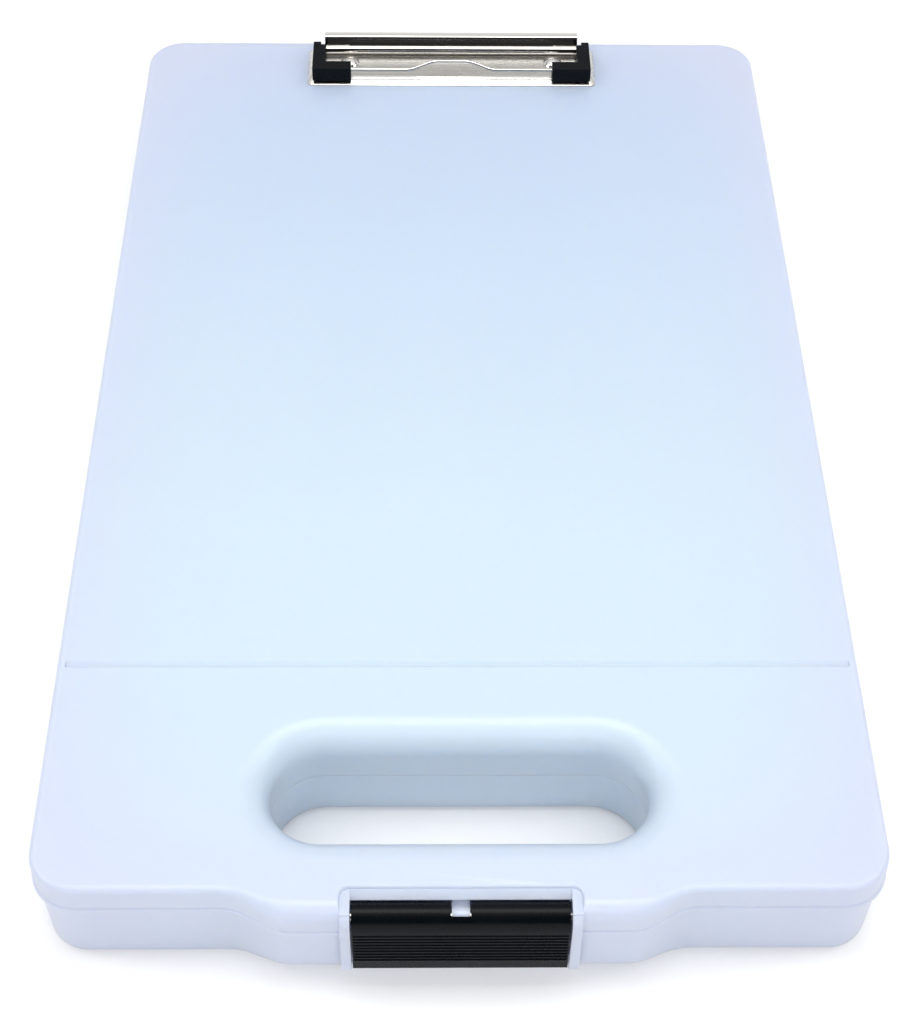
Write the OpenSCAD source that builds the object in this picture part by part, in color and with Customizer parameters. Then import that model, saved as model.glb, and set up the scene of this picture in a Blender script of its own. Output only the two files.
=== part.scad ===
// Storage clipboard box: a shallow moulded case whose lid is the writing board.
// The lid turns on two pins along its far edge and a latch closes it in front.
// A slot through both halves is the carrying handle. A sheet metal clip with a
// sprung wire jaw holds the paper at the far end.
// Millimetres, +X right, +Y towards the hinges and the clip, +Z up. The origin
// is under the middle of the whole box, on the surface it rests on.

/* [Case] */
// Width of the lid across the sides
case_w = 240; // [180:1:320]
// Length of the lid from its straight front edge to its far edge
case_l = 390; // [300:1:480]
// Height of the closed case up to the writing board
case_h = 37; // [28:0.5:60]
// Height of the lid's skirt
skirt_h = 11; // [9:0.5:16]
// Wall of the lid and its skirt
lid_wall = 2; // [1.4:0.1:3]
// Wall and floor of the tray
tray_wall = 2.2; // [1.6:0.1:3]
// Corner radius of the lid's outline
corner_r = 14; // [10:0.5:30]
// Rounding of the lid's top edge
top_edge_r = 1.8; // [0.8:0.1:4]
// Rounding of the tray's bottom edge
bottom_edge_r = 2.8; // [1:0.1:6]
// How far the tray's rim stands back from the lid's skirt
tray_inset = 1.4; // [0.6:0.1:3]
// How much narrower each side of the tray is at the bottom
tray_draft = 0.8; // [0:0.1:2]
// Height of the tongue on the tray's rim, inside the skirt
tongue_h = 2.8; // [1.5:0.1:5]
// Thickness of that tongue
tongue_t = 1.2; // [0.8:0.1:2]

/* [Front bump] */
// Half width of the bump where its face is full
bump_full = 47; // [40:1:60]
// Length in X of each of the bump's side curves
bump_blend = 19; // [12:1:30]
// How far the bump stands forward
bump_out = 7.5; // [4:0.5:12]
// Rounding of the bump's top edge
bump_top_r = 4.5; // [2:0.5:6]
// Rounding of the bump's bottom edge
bump_bottom_r = 9; // [3:0.5:12]

/* [Handle] */
// Length of the hand slot
slot_l = 109; // [90:1:130]
// Width of the hand slot
slot_w = 31; // [26:0.5:36]
// Distance from the straight front edge to the middle of the slot
slot_y = 34.6; // [32:0.1:44]
// Rounding of the lid down into the slot
slot_top_r = 9; // [4:0.5:12]
// Rounding of the tray's floor up into the slot
slot_bottom_r = 3; // [1:0.5:6]
// Height at which the lid's and the tray's sleeves meet in the slot
slot_seam_h = 18.5; // [12:0.5:24]

/* [Writing board] */
// Distance from the straight front edge to the groove across the board
groove_y = 76.5; // [70:0.5:100]
// Width of the groove
groove_w = 2.5; // [1:0.1:4]
// Depth of the groove
groove_d = 0.8; // [0.3:0.1:1.2]
// Distance from each end of the groove to the side of the lid
groove_end = 3; // [2.5:0.5:20]

/* [Inside walls] */
// Thickness of the walls inside the tray
rib_t = 1.8; // [1.2:0.1:3]
// Half distance between the two walls beside the handle
rib_x = 65; // [64:1:90]
// Left end of the pen gap in the cross wall
pen_gap_from = 12; // [5:1:30]
// Width of the pen gap
pen_gap_w = 31; // [16:1:36]
// Space between the inside walls and the closed lid
rib_gap = 1; // [0.5:0.1:4]

/* [Latch] */
// Width of the latch
latch_w = 60; // [40:1:70]
// Diameter of the latch's hinge barrel
latch_barrel_d = 8.4; // [7.6:0.2:9.6]
// Depth of the latch's pin below the writing board
latch_pin_drop = 6.8; // [6:0.1:7.2]
// Distance of the latch's pin in front of the straight front edge
latch_pin_out = 3.6; // [3:0.1:5]
// Diameter of the latch's pin
latch_pin_d = 2.5; // [2:0.1:3.5]
// Height of the latch's free end above the surface
latch_foot_h = 10; // [8:0.5:14]
// Thickness of the latch's plate
latch_plate_t = 2; // [1.6:0.1:2.6]
// How far the latch's plate stands in front of the bump
latch_proud = 1.1; // [0.8:0.1:2]
// Height of the plain strip below the finger ribs
latch_plain_h = 5; // [2:0.5:6]
// Number of finger ribs
latch_ribs = 9; // [4:1:9]
// Distance between finger ribs
latch_rib_pitch = 1.6; // [1.2:0.1:1.8]
// Height of a finger rib
latch_rib_h = 0.45; // [0.2:0.05:0.6]
// Width of the lid's middle knuckle in the latch
latch_knuckle_w = 5.4; // [4:0.2:10]
// Width of each cheek beside the latch
cheek_w = 2.8; // [2:0.1:5]
// Gap behind the latch's barrel, open to the top
latch_room_gap = 1; // [0.4:0.1:1.6]

/* [Hinges] */
// Distance of each hinge's middle from its side of the lid
hinge_side = 40; // [34:1:60]
// Length of each hinge
hinge_l = 36; // [24:1:50]
// Outer diameter of the hinge knuckles
knuckle_d = 7; // [6:0.2:9]
// Diameter of the hinge pins
hinge_pin_d = 2.8; // [2:0.1:4]

/* [Clip] */
// Width of the clip's base plate along its near edge
base_w = 113; // [100:1:130]
// Depth of the base plate from near to far
base_d = 23.5; // [22:0.5:30]
// Distance from the lid's far edge to the base plate's near edge
base_back = 29.5; // [28:0.5:60]
// Height of the base plate's top above the board
base_h = 2; // [1.6:0.1:3]
// How far the base plate's sides slope in
base_slope = 2; // [1:0.1:3]
// Sheet thickness of the base plate and the lever
sheet_t = 0.8; // [0.5:0.1:1]
// Distance from each side of the base plate to its rivet
rivet_side = 16.5; // [14:0.5:26]
// Distance from the base plate's near edge to the rivets
rivet_back = 12.5; // [9:0.5:12.5]
// Diameter of the rivet heads
rivet_head_d = 7.5; // [6:0.5:9]
// Diameter of the rivet shanks
rivet_shank_d = 4; // [3:0.1:5]
// Diameter of the washers under the lid
washer_d = 11; // [9:0.5:14]
// Thickness of the washers under the lid
washer_t = 0.8; // [0.5:0.1:1.2]
// Distance from the base plate's near edge to the pivot of the lever and the wire
pivot_back = 18.5; // [18:0.1:19.5]
// Distance from each side of the base plate to the end of the lever
lever_side = 6.5; // [6.2:0.1:12]
// Height of the lever above its pivot
lever_h = 5.4; // [4:0.1:10]
// Depth of the lever's bent back top
lever_top_d = 3; // [2:0.1:6]
// How far the panel pressed into the lever's web stands forward
lever_panel_h = 0.4; // [0.2:0.05:0.6]
// Distance from each end of the lever to that panel
lever_panel_end = 9; // [6:0.5:20]
// How far the closed lever leans back, in degrees
lever_lean = 20; // [0:1:30]
// Diameter of the spring wire
wire_d = 1.3; // [1.2:0.1:2.2]
// Height of the wire's jaw above the base plate
jaw_h = 3.3; // [2.2:0.1:4.5]
// Distance from the base plate's near edge to the jaw
jaw_back = 3.2; // [2.4:0.1:5]
// How far the jaw's middle bends back
jaw_bend = 4; // [0:0.5:5]
// How far the jaw's middle rises
jaw_rise = 1.1; // [0:0.1:2]
// Half width of the jaw's bent middle at its foot
jaw_bend_x = 18; // [14:1:30]
// Half width of the jaw's bent middle along its top
jaw_flat_x = 5; // [3:1:10]
// Length of a grip along the jaw
grip_l = 15; // [10:0.5:22]
// Width of a grip's bars
grip_w = 5; // [4.4:0.1:7]
// Height of a grip
grip_h = 5.6; // [5:0.1:8]

/* [Clearances] */
// Gap between pieces that move past each other
part_gap = 0.3; // [0.2:0.05:0.5]
// Gap round a pin in its bore
pin_gap = 0.05; // [0.02:0.01:0.1]

/* [Hidden] */
$fn = 48;

// A little more than the thickness of what a cut goes through
cut = 1;
corner_steps = 6;
blend_steps = 8;
edge_steps = 3;
slot_steps = 12;
slot_edge_steps = 5;

// Hinge axis, at the height where the skirt meets the tray
hinge_x = case_w / 2 - hinge_side;
seam_z = case_h - skirt_h;
hinge_z = seam_z;
hinge_back = knuckle_d / 2 + part_gap + 0.1;

// Everything in Y is measured from the straight front edge of the lid
front_reach = bump_out + latch_proud + latch_rib_h;
back_reach = hinge_back + knuckle_d / 2;
front_y = (front_reach - case_l - back_reach) / 2;
back_y = front_y + case_l;
hinge_y = back_y + hinge_back;

lid_under_z = case_h - lid_wall;
tray_top_z = seam_z - part_gap;
tongue_inset = lid_wall + part_gap + 0.1;
inner_inset = tongue_inset + tongue_t;
inner_edge_r = 1;
// Depth by which the floor's top layer is let into what is round it
floor_bond = 0.6;

slot_cy = front_y + slot_y;
slot_r = slot_w / 2;
slot_hx = slot_l / 2 - slot_r;

bump_face_y = front_y - bump_out;
latch_y = front_y - latch_pin_out;
latch_z = case_h - latch_pin_drop;
latch_r = latch_barrel_d / 2;
latch_face_y = bump_face_y - latch_proud;
latch_plate_y = latch_face_y + latch_plate_t;
latch_side_gap = part_gap + 0.1;
latch_room_r = latch_r + latch_room_gap;
latch_room_w = latch_w + 2 * latch_side_gap;
latch_frame_w = latch_room_w + 2 * cheek_w;
latch_back_t = 1.5;
latch_knuckle_r = latch_r - 1.5;
latch_arm_h = latch_knuckle_r;
pocket_y = latch_plate_y + 1.6;
pocket_z = latch_foot_h - 1.5;
catch_z = latch_foot_h + 3.4;
catch_h = 0.65;
catch_gap = 0.25;

board_z = case_h;
base_y = back_y - base_back;
lever_w = base_w - 2 * lever_side;
base_top_z = board_z + base_h;
rivet_x = base_w / 2 - rivet_side;
rivet_y = base_y + rivet_back;
wire_r = wire_d / 2;
roll_bore_r = wire_r + pin_gap;
roll_r = roll_bore_r + sheet_t;
pivot_y = base_y + pivot_back;
pivot_z = base_top_z + roll_r + part_gap;
ear_t = sheet_t;
lever_bow = 14;
web_steps = 5;
lever_bend_r = 0.9;
lever_lip_rise = 1.3;
ear_x = lever_w / 2 + part_gap;
ear_r = roll_r + 0.6;
wire_bend_r = 1.5;
leg_x = ear_x + ear_t + part_gap + wire_bend_r;
jaw_y = base_y + jaw_back;
jaw_z = base_top_z + jaw_h;
grip_lift = 0.2;
grip_z = base_top_z + grip_lift;
// Plastic outside the wire, at the grip's side
grip_cover = 0.7;
grip_x = leg_x + wire_r + grip_cover;
grip_front_y = base_y + part_gap;

// Basic helpers

function mix(a, b, t) = a + (b - a) * t;

function arc_points(cx, cy, r, from, to, steps) = [
    for (i = [0:steps])
        let(a = mix(from, to, i / steps))
        [cx + r * cos(a), cy + r * sin(a)]
];

// Outline of the lid, counter-clockwise: place, inward direction and share of the bump

function corner(cx, cy, from) = [
    for (i = [0:corner_steps])
        let(a = from + 90 * i / corner_steps)
        [cx + corner_r * cos(a), cy + corner_r * sin(a), -cos(a), -sin(a), 0]
];

function bump_side(side) = [
    for (i = [0:blend_steps])
        let(
            t = side < 0 ? i / blend_steps : 1 - i / blend_steps,
            share = (1 - cos(180 * t)) / 2,
            x = side * (bump_full + bump_blend * (1 - t))
        )
        [x, front_y - bump_out * share, 0, 1, share]
];

outline = concat(
    bump_side(-1),
    bump_side(1),
    corner(case_w / 2 - corner_r, front_y + corner_r, -90),
    corner(case_w / 2 - corner_r, back_y - corner_r, 0),
    corner(corner_r - case_w / 2, back_y - corner_r, 90),
    corner(corner_r - case_w / 2, front_y + corner_r, 180)
);

// A ring that follows the outline, set in from it
function case_ring(inset, z) = [
    for (p = outline) [p[0] + p[2] * inset, p[1] + p[3] * inset, z]
];

// A ring on a rounded edge: at 0 degrees it meets the wall, at 90 the flat
function case_edge_ring(inset, r, bump_r, z, up, a) = [
    for (p = outline)
        let(
            edge_r = mix(r, bump_r, p[4]),
            shift = inset + edge_r * (1 - cos(a))
        )
        [p[0] + p[2] * shift, p[1] + p[3] * shift, z + up * edge_r * (1 - sin(a))]
];

// Outline of the hand slot, counter-clockwise: place and outward direction
slot = [
    for (side = [1, -1], i = [0:slot_steps])
        let(a = (side > 0 ? -90 : 90) + 180 * i / slot_steps)
        [side * slot_hx + slot_r * cos(a), slot_cy + slot_r * sin(a), cos(a), sin(a)]
];

function slot_ring(grow, z) = [
    for (p = slot) [p[0] + p[2] * grow, p[1] + p[3] * grow, z]
];

// A ring on a rounded edge round the slot: at 0 degrees it meets the sleeve
function slot_edge_ring(grow, r, z, up, a) =
    slot_ring(grow + r * (1 - cos(a)), z + up * r * (1 - sin(a)));

// A closed shell round the slot, from rings along the case and rings along the sleeve

function ring_angle(p) = (atan2(p[1] - slot_cy, p[0]) + 360) % 360;

// Index of the last angle before a given one, going round
function last_before(angles, a, or_equal) =
    let(
        all = [for (i = [0:len(angles) - 1]) i],
        below = [for (i = all) if (angles[i] < a || (or_equal && angles[i] == a)) i],
        ids = len(below) > 0 ? below : all,
        top = max([for (i = ids) angles[i]])
    )
    [for (i = ids) if (angles[i] == top) i][0];

// Triangles between two rings with as many points each
function band(first, second, n) = [
    for (i = [0:n - 1])
        let(k = (i + 1) % n)
        each [[first + i, second + i, second + k], [first + i, second + k, first + k]]
];

// Triangles between two rings with different points, matched by angle
function web(first, first_angles, second, second_angles) = [
    for (i = [0:len(first_angles) - 1])
        let(k = (i + 1) % len(first_angles))
        [first + i, second + last_before(second_angles, first_angles[k], true), first + k],
    for (j = [0:len(second_angles) - 1])
        let(k = (j + 1) % len(second_angles))
        [first + last_before(first_angles, second_angles[k], false), second + j, second + k]
];

module ring_shell(case_rings, slot_rings) {
    n = len(outline);
    m = len(slot);
    slot_start = n * len(case_rings);
    last_case = n * (len(case_rings) - 1);
    last_slot = slot_start + m * (len(slot_rings) - 1);
    function angles(ring) = [for (p = ring) ring_angle(p)];
    points = [
        for (ring = case_rings) each ring,
        for (ring = slot_rings) each ring,
    ];
    faces = [
        for (k = [1:len(case_rings) - 1]) each band(n * (k - 1), n * k, n),
        for (k = [1:len(slot_rings) - 1])
            each band(slot_start + m * (k - 1), slot_start + m * k, m),
        each web(
            last_case, angles(case_rings[len(case_rings) - 1]),
            slot_start, angles(slot_rings[0])
        ),
        each web(
            last_slot, angles(slot_rings[len(slot_rings) - 1]),
            0, angles(case_rings[0])
        ),
    ];
    polyhedron(points = points, faces = faces, convexity = 8);
}

// Profiles drawn in Y and Z, pushed out along X

module along_x(x, length) {
    translate([x, 0, 0])
        rotate([90, 0, 90])
        linear_extrude(height = length, convexity = 6)
        children();
}

module rod(x, y, z, r, length) {
    translate([x, y, z])
        rotate([0, 90, 0])
        cylinder(r = r, h = length);
}

module block(from, to) {
    translate(from)
        cube([for (i = [0:2]) to[i] - from[i]]);
}

// A pin with chamfered ends, lying along X about its middle
module pin(y, z, d, length) {
    chamfer = d / 8;
    translate([-length / 2, y, z])
        rotate([0, 90, 0])
        rotate_extrude()
        polygon([
            [0, 0], [d / 2 - chamfer, 0], [d / 2, chamfer],
            [d / 2, length - chamfer], [d / 2 - chamfer, length], [0, length],
        ]);
}

// Hinges at the far edge: tray, lid and tray knuckle on each pin

knuckle_l = (hinge_l - 2 * part_gap) / 3;

module tray_knuckles() {
    web_top = tray_top_z;
    wall_y = back_y - tray_inset - 1;
    for (side = [-1, 1], end = [-1, 1]) {
        x = side * hinge_x + end * (knuckle_l + part_gap) - knuckle_l / 2;
        rod(x, hinge_y, hinge_z, knuckle_d / 2, knuckle_l);
        along_x(x, knuckle_l)
            polygon([
                [wall_y, web_top], [wall_y, seam_z - skirt_h],
                [hinge_y, hinge_z - knuckle_d / 2 + 0.2], [hinge_y, web_top],
            ]);
    }
}

module lid_knuckles() {
    for (side = [-1, 1]) {
        x = side * hinge_x - knuckle_l / 2;
        rod(x, hinge_y, hinge_z, knuckle_d / 2, knuckle_l);
        along_x(x, knuckle_l)
            polygon([
                [back_y - lid_wall / 2, hinge_z], [hinge_y, hinge_z],
                [hinge_y + 0.6, hinge_z + knuckle_d / 2 - 0.3],
                [back_y - lid_wall / 2, case_h - top_edge_r - 1],
            ]);
    }
}

module hinge_bores() {
    for (side = [-1, 1])
        rod(
            side * hinge_x - hinge_l / 2 - cut, hinge_y, hinge_z,
            hinge_pin_d / 2 + pin_gap, hinge_l + 2 * cut
        );
}

module hinge_pin(side) {
    translate([side * hinge_x, 0, 0])
        pin(hinge_y, hinge_z, hinge_pin_d, hinge_l);
}

// Tray

function tray_case_rings() =
    let(
        low_inset = tray_inset + tray_draft,
        inner_r = bottom_edge_r - tray_wall > inner_edge_r
            ? bottom_edge_r - tray_wall : inner_edge_r,
        inner_bump_r = max(bump_bottom_r - tray_wall, inner_edge_r)
    )
    [
        for (i = [0:edge_steps])
            case_edge_ring(
                low_inset, bottom_edge_r, bump_bottom_r, 0, 1, 90 - 90 * i / edge_steps
            ),
        case_ring(tray_inset, tray_top_z),
        case_ring(tongue_inset, tray_top_z),
        case_ring(tongue_inset, tray_top_z + tongue_h),
        case_ring(inner_inset, tray_top_z + tongue_h),
        for (i = [0:edge_steps])
            case_edge_ring(
                inner_inset + tray_draft, inner_r, inner_bump_r,
                tray_wall - floor_bond, 1, 90 * i / edge_steps
            ),
    ];

function tray_slot_rings() =
    let(top = slot_seam_h - part_gap / 2)
    [
        slot_edge_ring(tray_wall, inner_edge_r, tray_wall - floor_bond, 1, 90),
        slot_edge_ring(tray_wall, inner_edge_r, tray_wall - floor_bond, 1, 0),
        slot_ring(tray_wall, top),
        slot_ring(0, top),
        for (i = [0:edge_steps])
            slot_edge_ring(0, slot_bottom_r, 0, 1, 90 * i / edge_steps),
    ];

// Top layer of the floor, let into the walls and the sleeve all round
module tray_floor() {
    inset = inner_inset + tray_draft - floor_bond;
    bump_inset = bump_bottom_r - tray_wall;
    translate([0, 0, tray_wall / 2])
        linear_extrude(height = tray_wall / 2)
        difference() {
            polygon([
                for (p = outline)
                    let(shift = inset + p[4] * bump_inset)
                    [p[0] + p[2] * shift, p[1] + p[3] * shift]
            ]);
            polygon([for (p = slot_ring(tray_wall - floor_bond, 0)) [p[0], p[1]]]);
        }
}

module inside_walls() {
    top = lid_under_z - rib_gap;
    floor_z = tray_wall / 2;
    cross_y = front_y + groove_y - rib_t / 2;
    side_x = case_w / 2 - inner_inset - tray_draft / 2;
    front_in = front_y + inner_inset + tray_draft / 2;
    block([-side_x, cross_y, floor_z], [pen_gap_from, cross_y + rib_t, top]);
    block([pen_gap_from + pen_gap_w, cross_y, floor_z], [side_x, cross_y + rib_t, top]);
    for (side = [-1, 1])
        block(
            [side * rib_x - rib_t / 2, front_in, floor_z],
            [side * rib_x + rib_t / 2, cross_y + rib_t / 2, top]
        );
    for (x = [pen_gap_from, pen_gap_from + pen_gap_w])
        translate([x, cross_y + rib_t / 2, floor_z])
            cylinder(r = rib_t / 2 + 0.4, h = top - floor_z);
}

// Walls round the latch's pocket, thick enough to carry it
module tray_latch_housing() {
    cheek_y = bump_face_y - latch_proud * 0.7;
    for (side = [-1, 1]) {
        x = side * (latch_room_w + cheek_w) / 2 - cheek_w / 2;
        block([x, cheek_y, pocket_z - 0.8], [x + cheek_w, pocket_y + cut, tray_top_z]);
    }
    block(
        [-latch_frame_w / 2, pocket_y, pocket_z - 0.8],
        [latch_frame_w / 2, pocket_y + tray_wall, tray_top_z]
    );
}

module tray_pocket() {
    block(
        [-latch_room_w / 2, latch_face_y - cut, pocket_z],
        [latch_room_w / 2, pocket_y, tray_top_z + cut]
    );
    // The tongue stops short of the housing that the lid has here
    block(
        [-latch_frame_w / 2 - cut, bump_face_y, tray_top_z],
        [latch_frame_w / 2 + cut, latch_y + latch_room_r + 2 * latch_back_t + cut, case_h]
    );
}

module tray_catch() {
    along_x(-latch_w / 4, latch_w / 2)
        polygon([
            [pocket_y + cut, catch_z], [pocket_y, catch_z],
            [pocket_y - catch_h, catch_z + 0.3], [pocket_y - catch_h, catch_z + 0.9],
            [pocket_y, catch_z + 2.2], [pocket_y + cut, catch_z + 2.2],
        ]);
}

module tray_shell() {
    color("lightsteelblue", 0.6)
        difference() {
            union() {
                difference() {
                    union() {
                        ring_shell(tray_case_rings(), tray_slot_rings());
                        tray_knuckles();
                        union() {
                            tray_floor();
                            inside_walls();
                            tray_latch_housing();
                        }
                    }
                    tray_pocket();
                }
                tray_catch();
            }
            hinge_bores();
        }
}

// Lid

function lid_case_rings() =
    let(
        under_r = max(top_edge_r - lid_wall, 0.6),
        under_bump_r = max(bump_top_r - lid_wall, 0.6)
    )
    [
        for (i = [0:1])
            case_edge_ring(
                lid_wall, under_r, under_bump_r, lid_under_z, -1, 90 - 90 * i
            ),
        case_ring(lid_wall, seam_z),
        case_ring(0, seam_z),
        for (i = [0:edge_steps])
            case_edge_ring(0, top_edge_r, bump_top_r, case_h, -1, 90 * i / edge_steps),
    ];

function lid_slot_rings() =
    let(
        bottom = slot_seam_h + part_gap / 2,
        inner_r = slot_top_r - lid_wall
    )
    [
        for (i = [0:slot_edge_steps])
            slot_edge_ring(0, slot_top_r, case_h, -1, 90 - 90 * i / slot_edge_steps),
        slot_ring(0, bottom),
        slot_ring(lid_wall, bottom),
        for (i = [0:slot_edge_steps])
            slot_edge_ring(lid_wall, inner_r, lid_under_z, -1, 90 * i / slot_edge_steps),
    ];

// Solid housing for the latch's barrel, trimmed to the inside of the bump
module lid_latch_housing() {
    r = latch_room_r + latch_back_t;
    intersection() {
        rod(-latch_frame_w / 2, latch_y, latch_z, r, latch_frame_w);
        block(
            [-latch_frame_w / 2, bump_face_y + lid_wall / 2, seam_z],
            [latch_frame_w / 2, latch_y + r + cut, lid_under_z + lid_wall / 2]
        );
    }
    cheek_r = bump_top_r + latch_proud;
    for (side = [-1, 1])
        along_x(side * (latch_room_w + cheek_w) / 2 - cheek_w / 2, cheek_w)
            polygon(concat(
                arc_points(latch_face_y + cheek_r, board_z - cheek_r, cheek_r, 90, 180, 8),
                [
                    [latch_face_y, seam_z], [latch_y + latch_r, seam_z],
                    [latch_y + latch_r, lid_under_z + lid_wall / 2],
                ]
            ));
}

module lid_latch_room() {
    rod(-latch_room_w / 2, latch_y, latch_z, latch_room_r, latch_room_w);
    block(
        [-latch_room_w / 2, latch_face_y - cut, latch_z],
        [latch_room_w / 2, latch_y + latch_room_r, case_h + cut]
    );
    block(
        [-latch_room_w / 2, latch_face_y - cut, seam_z - cut],
        [latch_room_w / 2, latch_y, latch_z]
    );
}

// Middle knuckle, on an arm from the back of the housing
module lid_latch_knuckle() {
    rod(-latch_knuckle_w / 2, latch_y, latch_z, latch_knuckle_r, latch_knuckle_w);
    block(
        [-latch_knuckle_w / 2, latch_y, latch_z - latch_arm_h / 2],
        [
            latch_knuckle_w / 2, latch_y + latch_room_r + latch_back_t / 2,
            latch_z + latch_arm_h / 2,
        ]
    );
}

// Bosses that hold the base plate's raised middle off the board
module rivet_bosses() {
    for (side = [-1, 1])
        translate([side * rivet_x, rivet_y, lid_under_z + lid_wall / 2])
            cylinder(d = washer_d, h = board_z + base_h - sheet_t - lid_under_z - lid_wall / 2);
}

module rivet_holes() {
    for (side = [-1, 1])
        translate([side * rivet_x, rivet_y, lid_under_z - cut])
            cylinder(r = rivet_shank_d / 2 + pin_gap, h = lid_wall + base_h + 2 * cut);
}

module board_groove() {
    y = front_y + groove_y;
    x = case_w / 2 - groove_end;
    along_x(-x, 2 * x)
        polygon([
            [y, board_z + cut], [y, board_z], [y + groove_w * 0.35, board_z - groove_d],
            [y + groove_w * 0.65, board_z - groove_d], [y + groove_w, board_z],
            [y + groove_w, board_z + cut],
        ]);
}

module lid_shell() {
    color("lightblue", 0.6)
        difference() {
            union() {
                difference() {
                    union() {
                        ring_shell(lid_case_rings(), lid_slot_rings());
                        lid_latch_housing();
                    }
                    lid_latch_room();
                    board_groove();
                }
                lid_latch_knuckle();
                lid_knuckles();
                rivet_bosses();
            }
            rod(
                -latch_frame_w / 2 - cut, latch_y, latch_z,
                latch_pin_d / 2 + pin_gap, latch_frame_w + 2 * cut
            );
            hinge_bores();
            rivet_holes();
        }
}

// Latch

module latch_profile() {
    difference() {
        union() {
            translate([latch_y, latch_z])
                circle(r = latch_r);
            polygon([
                [latch_face_y, latch_z - 1.6],
                [latch_y - latch_r * cos(20), latch_z + latch_r * sin(20)],
                [latch_y, latch_z],
                [latch_y - latch_r * sin(35), latch_z - latch_r * cos(35)],
                [latch_plate_y, latch_z - latch_r - 1.4],
                [latch_plate_y, latch_foot_h + 0.6],
                [latch_plate_y - 0.6, latch_foot_h],
                [latch_face_y + 0.6, latch_foot_h],
                [latch_face_y, latch_foot_h + 0.6],
            ]);
            for (i = [0:latch_ribs - 1])
                translate([latch_face_y, latch_foot_h + latch_plain_h + i * latch_rib_pitch])
                    circle(r = latch_rib_h);
        }
        translate([latch_y, latch_z])
            circle(r = latch_pin_d / 2 + pin_gap);
    }
}

// The lip that rides over the tray's catch
module latch_catch() {
    tip = pocket_y - catch_h - catch_gap;
    along_x(-latch_w / 4 + 1, latch_w / 2 - 2)
        polygon([
            [latch_plate_y - 0.4, catch_z - 0.2], [latch_plate_y, catch_z - 0.2],
            [tip, catch_z - 0.5], [tip, catch_z - 1.1],
            [latch_plate_y, catch_z - 2.2], [latch_plate_y - 0.4, catch_z - 2.2],
        ]);
}

// Room for the lid's middle knuckle, and for its arm over the latch's whole turn
module latch_notch() {
    notch_w = latch_knuckle_w + 2 * part_gap;
    reach = latch_barrel_d;
    rod(-notch_w / 2, latch_y, latch_z, latch_knuckle_r + part_gap, notch_w);
    along_x(-notch_w / 2, notch_w)
        translate([latch_y, latch_z])
        polygon([
            [0, 0], [reach * cos(150), reach * sin(150)], [reach * cos(150), reach],
            [reach, reach], [reach, -reach * sin(40)], [reach * cos(40), -reach * sin(40)],
        ]);
}

module latch() {
    color("black")
        difference() {
            union() {
                along_x(-latch_w / 2, latch_w)
                    latch_profile();
                latch_catch();
            }
            latch_notch();
        }
}

module latch_pin() {
    color("silver")
        pin(latch_y, latch_z, latch_pin_d, latch_frame_w);
}

// Clip

// A rectangle with round corners, flat at a given height
module plate_outline(x, y0, y1, r, z) {
    translate([0, 0, z])
        linear_extrude(height = 0.01)
        hull()
        for (sx = [-1, 1], y = [y0 + r, y1 - r])
            translate([sx * (x - r), y])
                circle(r = r, $fn = 32);
}

// A shallow pan turned over, set in by the sheet's thickness for its hollow
module pan(shrink, lift) {
    hull() {
        plate_outline(
            base_w / 2 - shrink, base_y + shrink, base_y + base_d - shrink, 2, board_z + lift
        );
        plate_outline(
            base_w / 2 - base_slope - shrink, base_y + base_slope + shrink,
            base_y + base_d - base_slope / 2 - shrink, 2, base_top_z - shrink - 0.01
        );
    }
}

module clip_ears() {
    for (side = [-1, 1]) {
        x = side * (ear_x + ear_t / 2) - ear_t / 2;
        rod(x, pivot_y, pivot_z, ear_r, ear_t);
        block(
            [x, pivot_y - ear_r, base_top_z - sheet_t / 2],
            [x + ear_t, pivot_y + ear_r, pivot_z]
        );
    }
}

module clip_base() {
    color("gainsboro")
        difference() {
            union() {
                difference() {
                    pan(0, 0);
                    pan(sheet_t, -cut);
                }
                clip_ears();
            }
            rod(-base_w / 2, pivot_y, pivot_z, wire_r + pin_gap, base_w);
            for (side = [-1, 1])
                translate([side * rivet_x, rivet_y, board_z])
                    cylinder(r = rivet_shank_d / 2 + pin_gap, h = base_h + cut);
        }
}

module rivet(side) {
    head_r = rivet_head_d / 2;
    head_h = rivet_head_d / 4;
    foot_z = lid_under_z - washer_t;
    foot_r = rivet_shank_d / 2 + 1;
    dome_r = (head_r * head_r + head_h * head_h) / (2 * head_h);
    half = asin(head_r / dome_r);
    dome = arc_points(0, base_top_z + head_h - dome_r, dome_r, 90 - half, 88, 6);
    color("silver")
        translate([side * rivet_x, rivet_y, 0])
        rotate_extrude()
        polygon(concat(
            [
                [0, foot_z - 1], [foot_r - 0.4, foot_z - 1], [foot_r, foot_z - 0.6],
                [foot_r, foot_z], [rivet_shank_d / 2, foot_z],
                [rivet_shank_d / 2, base_top_z],
            ],
            dome,
            [[0, base_top_z + head_h]]
        ));
}

module rivet_washer(side) {
    color("silver")
        translate([side * rivet_x, rivet_y, lid_under_z - washer_t])
        difference() {
            cylinder(d = washer_d, h = washer_t);
            translate([0, 0, -cut])
                cylinder(r = rivet_shank_d / 2 + pin_gap, h = washer_t + 2 * cut);
        }
}

// Centre line of the lever's web, hollow towards the front
function web_line() =
    let(
        bow_r = 2 * (lever_h - 1),
        foot_y = roll_r - sheet_t / 2
    )
    arc_points(
        foot_y - bow_r * cos(lever_bow), bow_r * sin(lever_bow), bow_r,
        -lever_bow, lever_bow, web_steps
    );

// The web's line and that of its bent back top
function lever_line() =
    let(
        web = web_line(),
        top = web[web_steps],
        bend = arc_points(top[0] + lever_bend_r, top[1], lever_bend_r, 180, 100, 4)
    )
    concat(
        web,
        [for (i = [1:4]) bend[i]],
        [[top[0] + lever_top_d, top[1] + lever_lip_rise]]
    );

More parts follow.
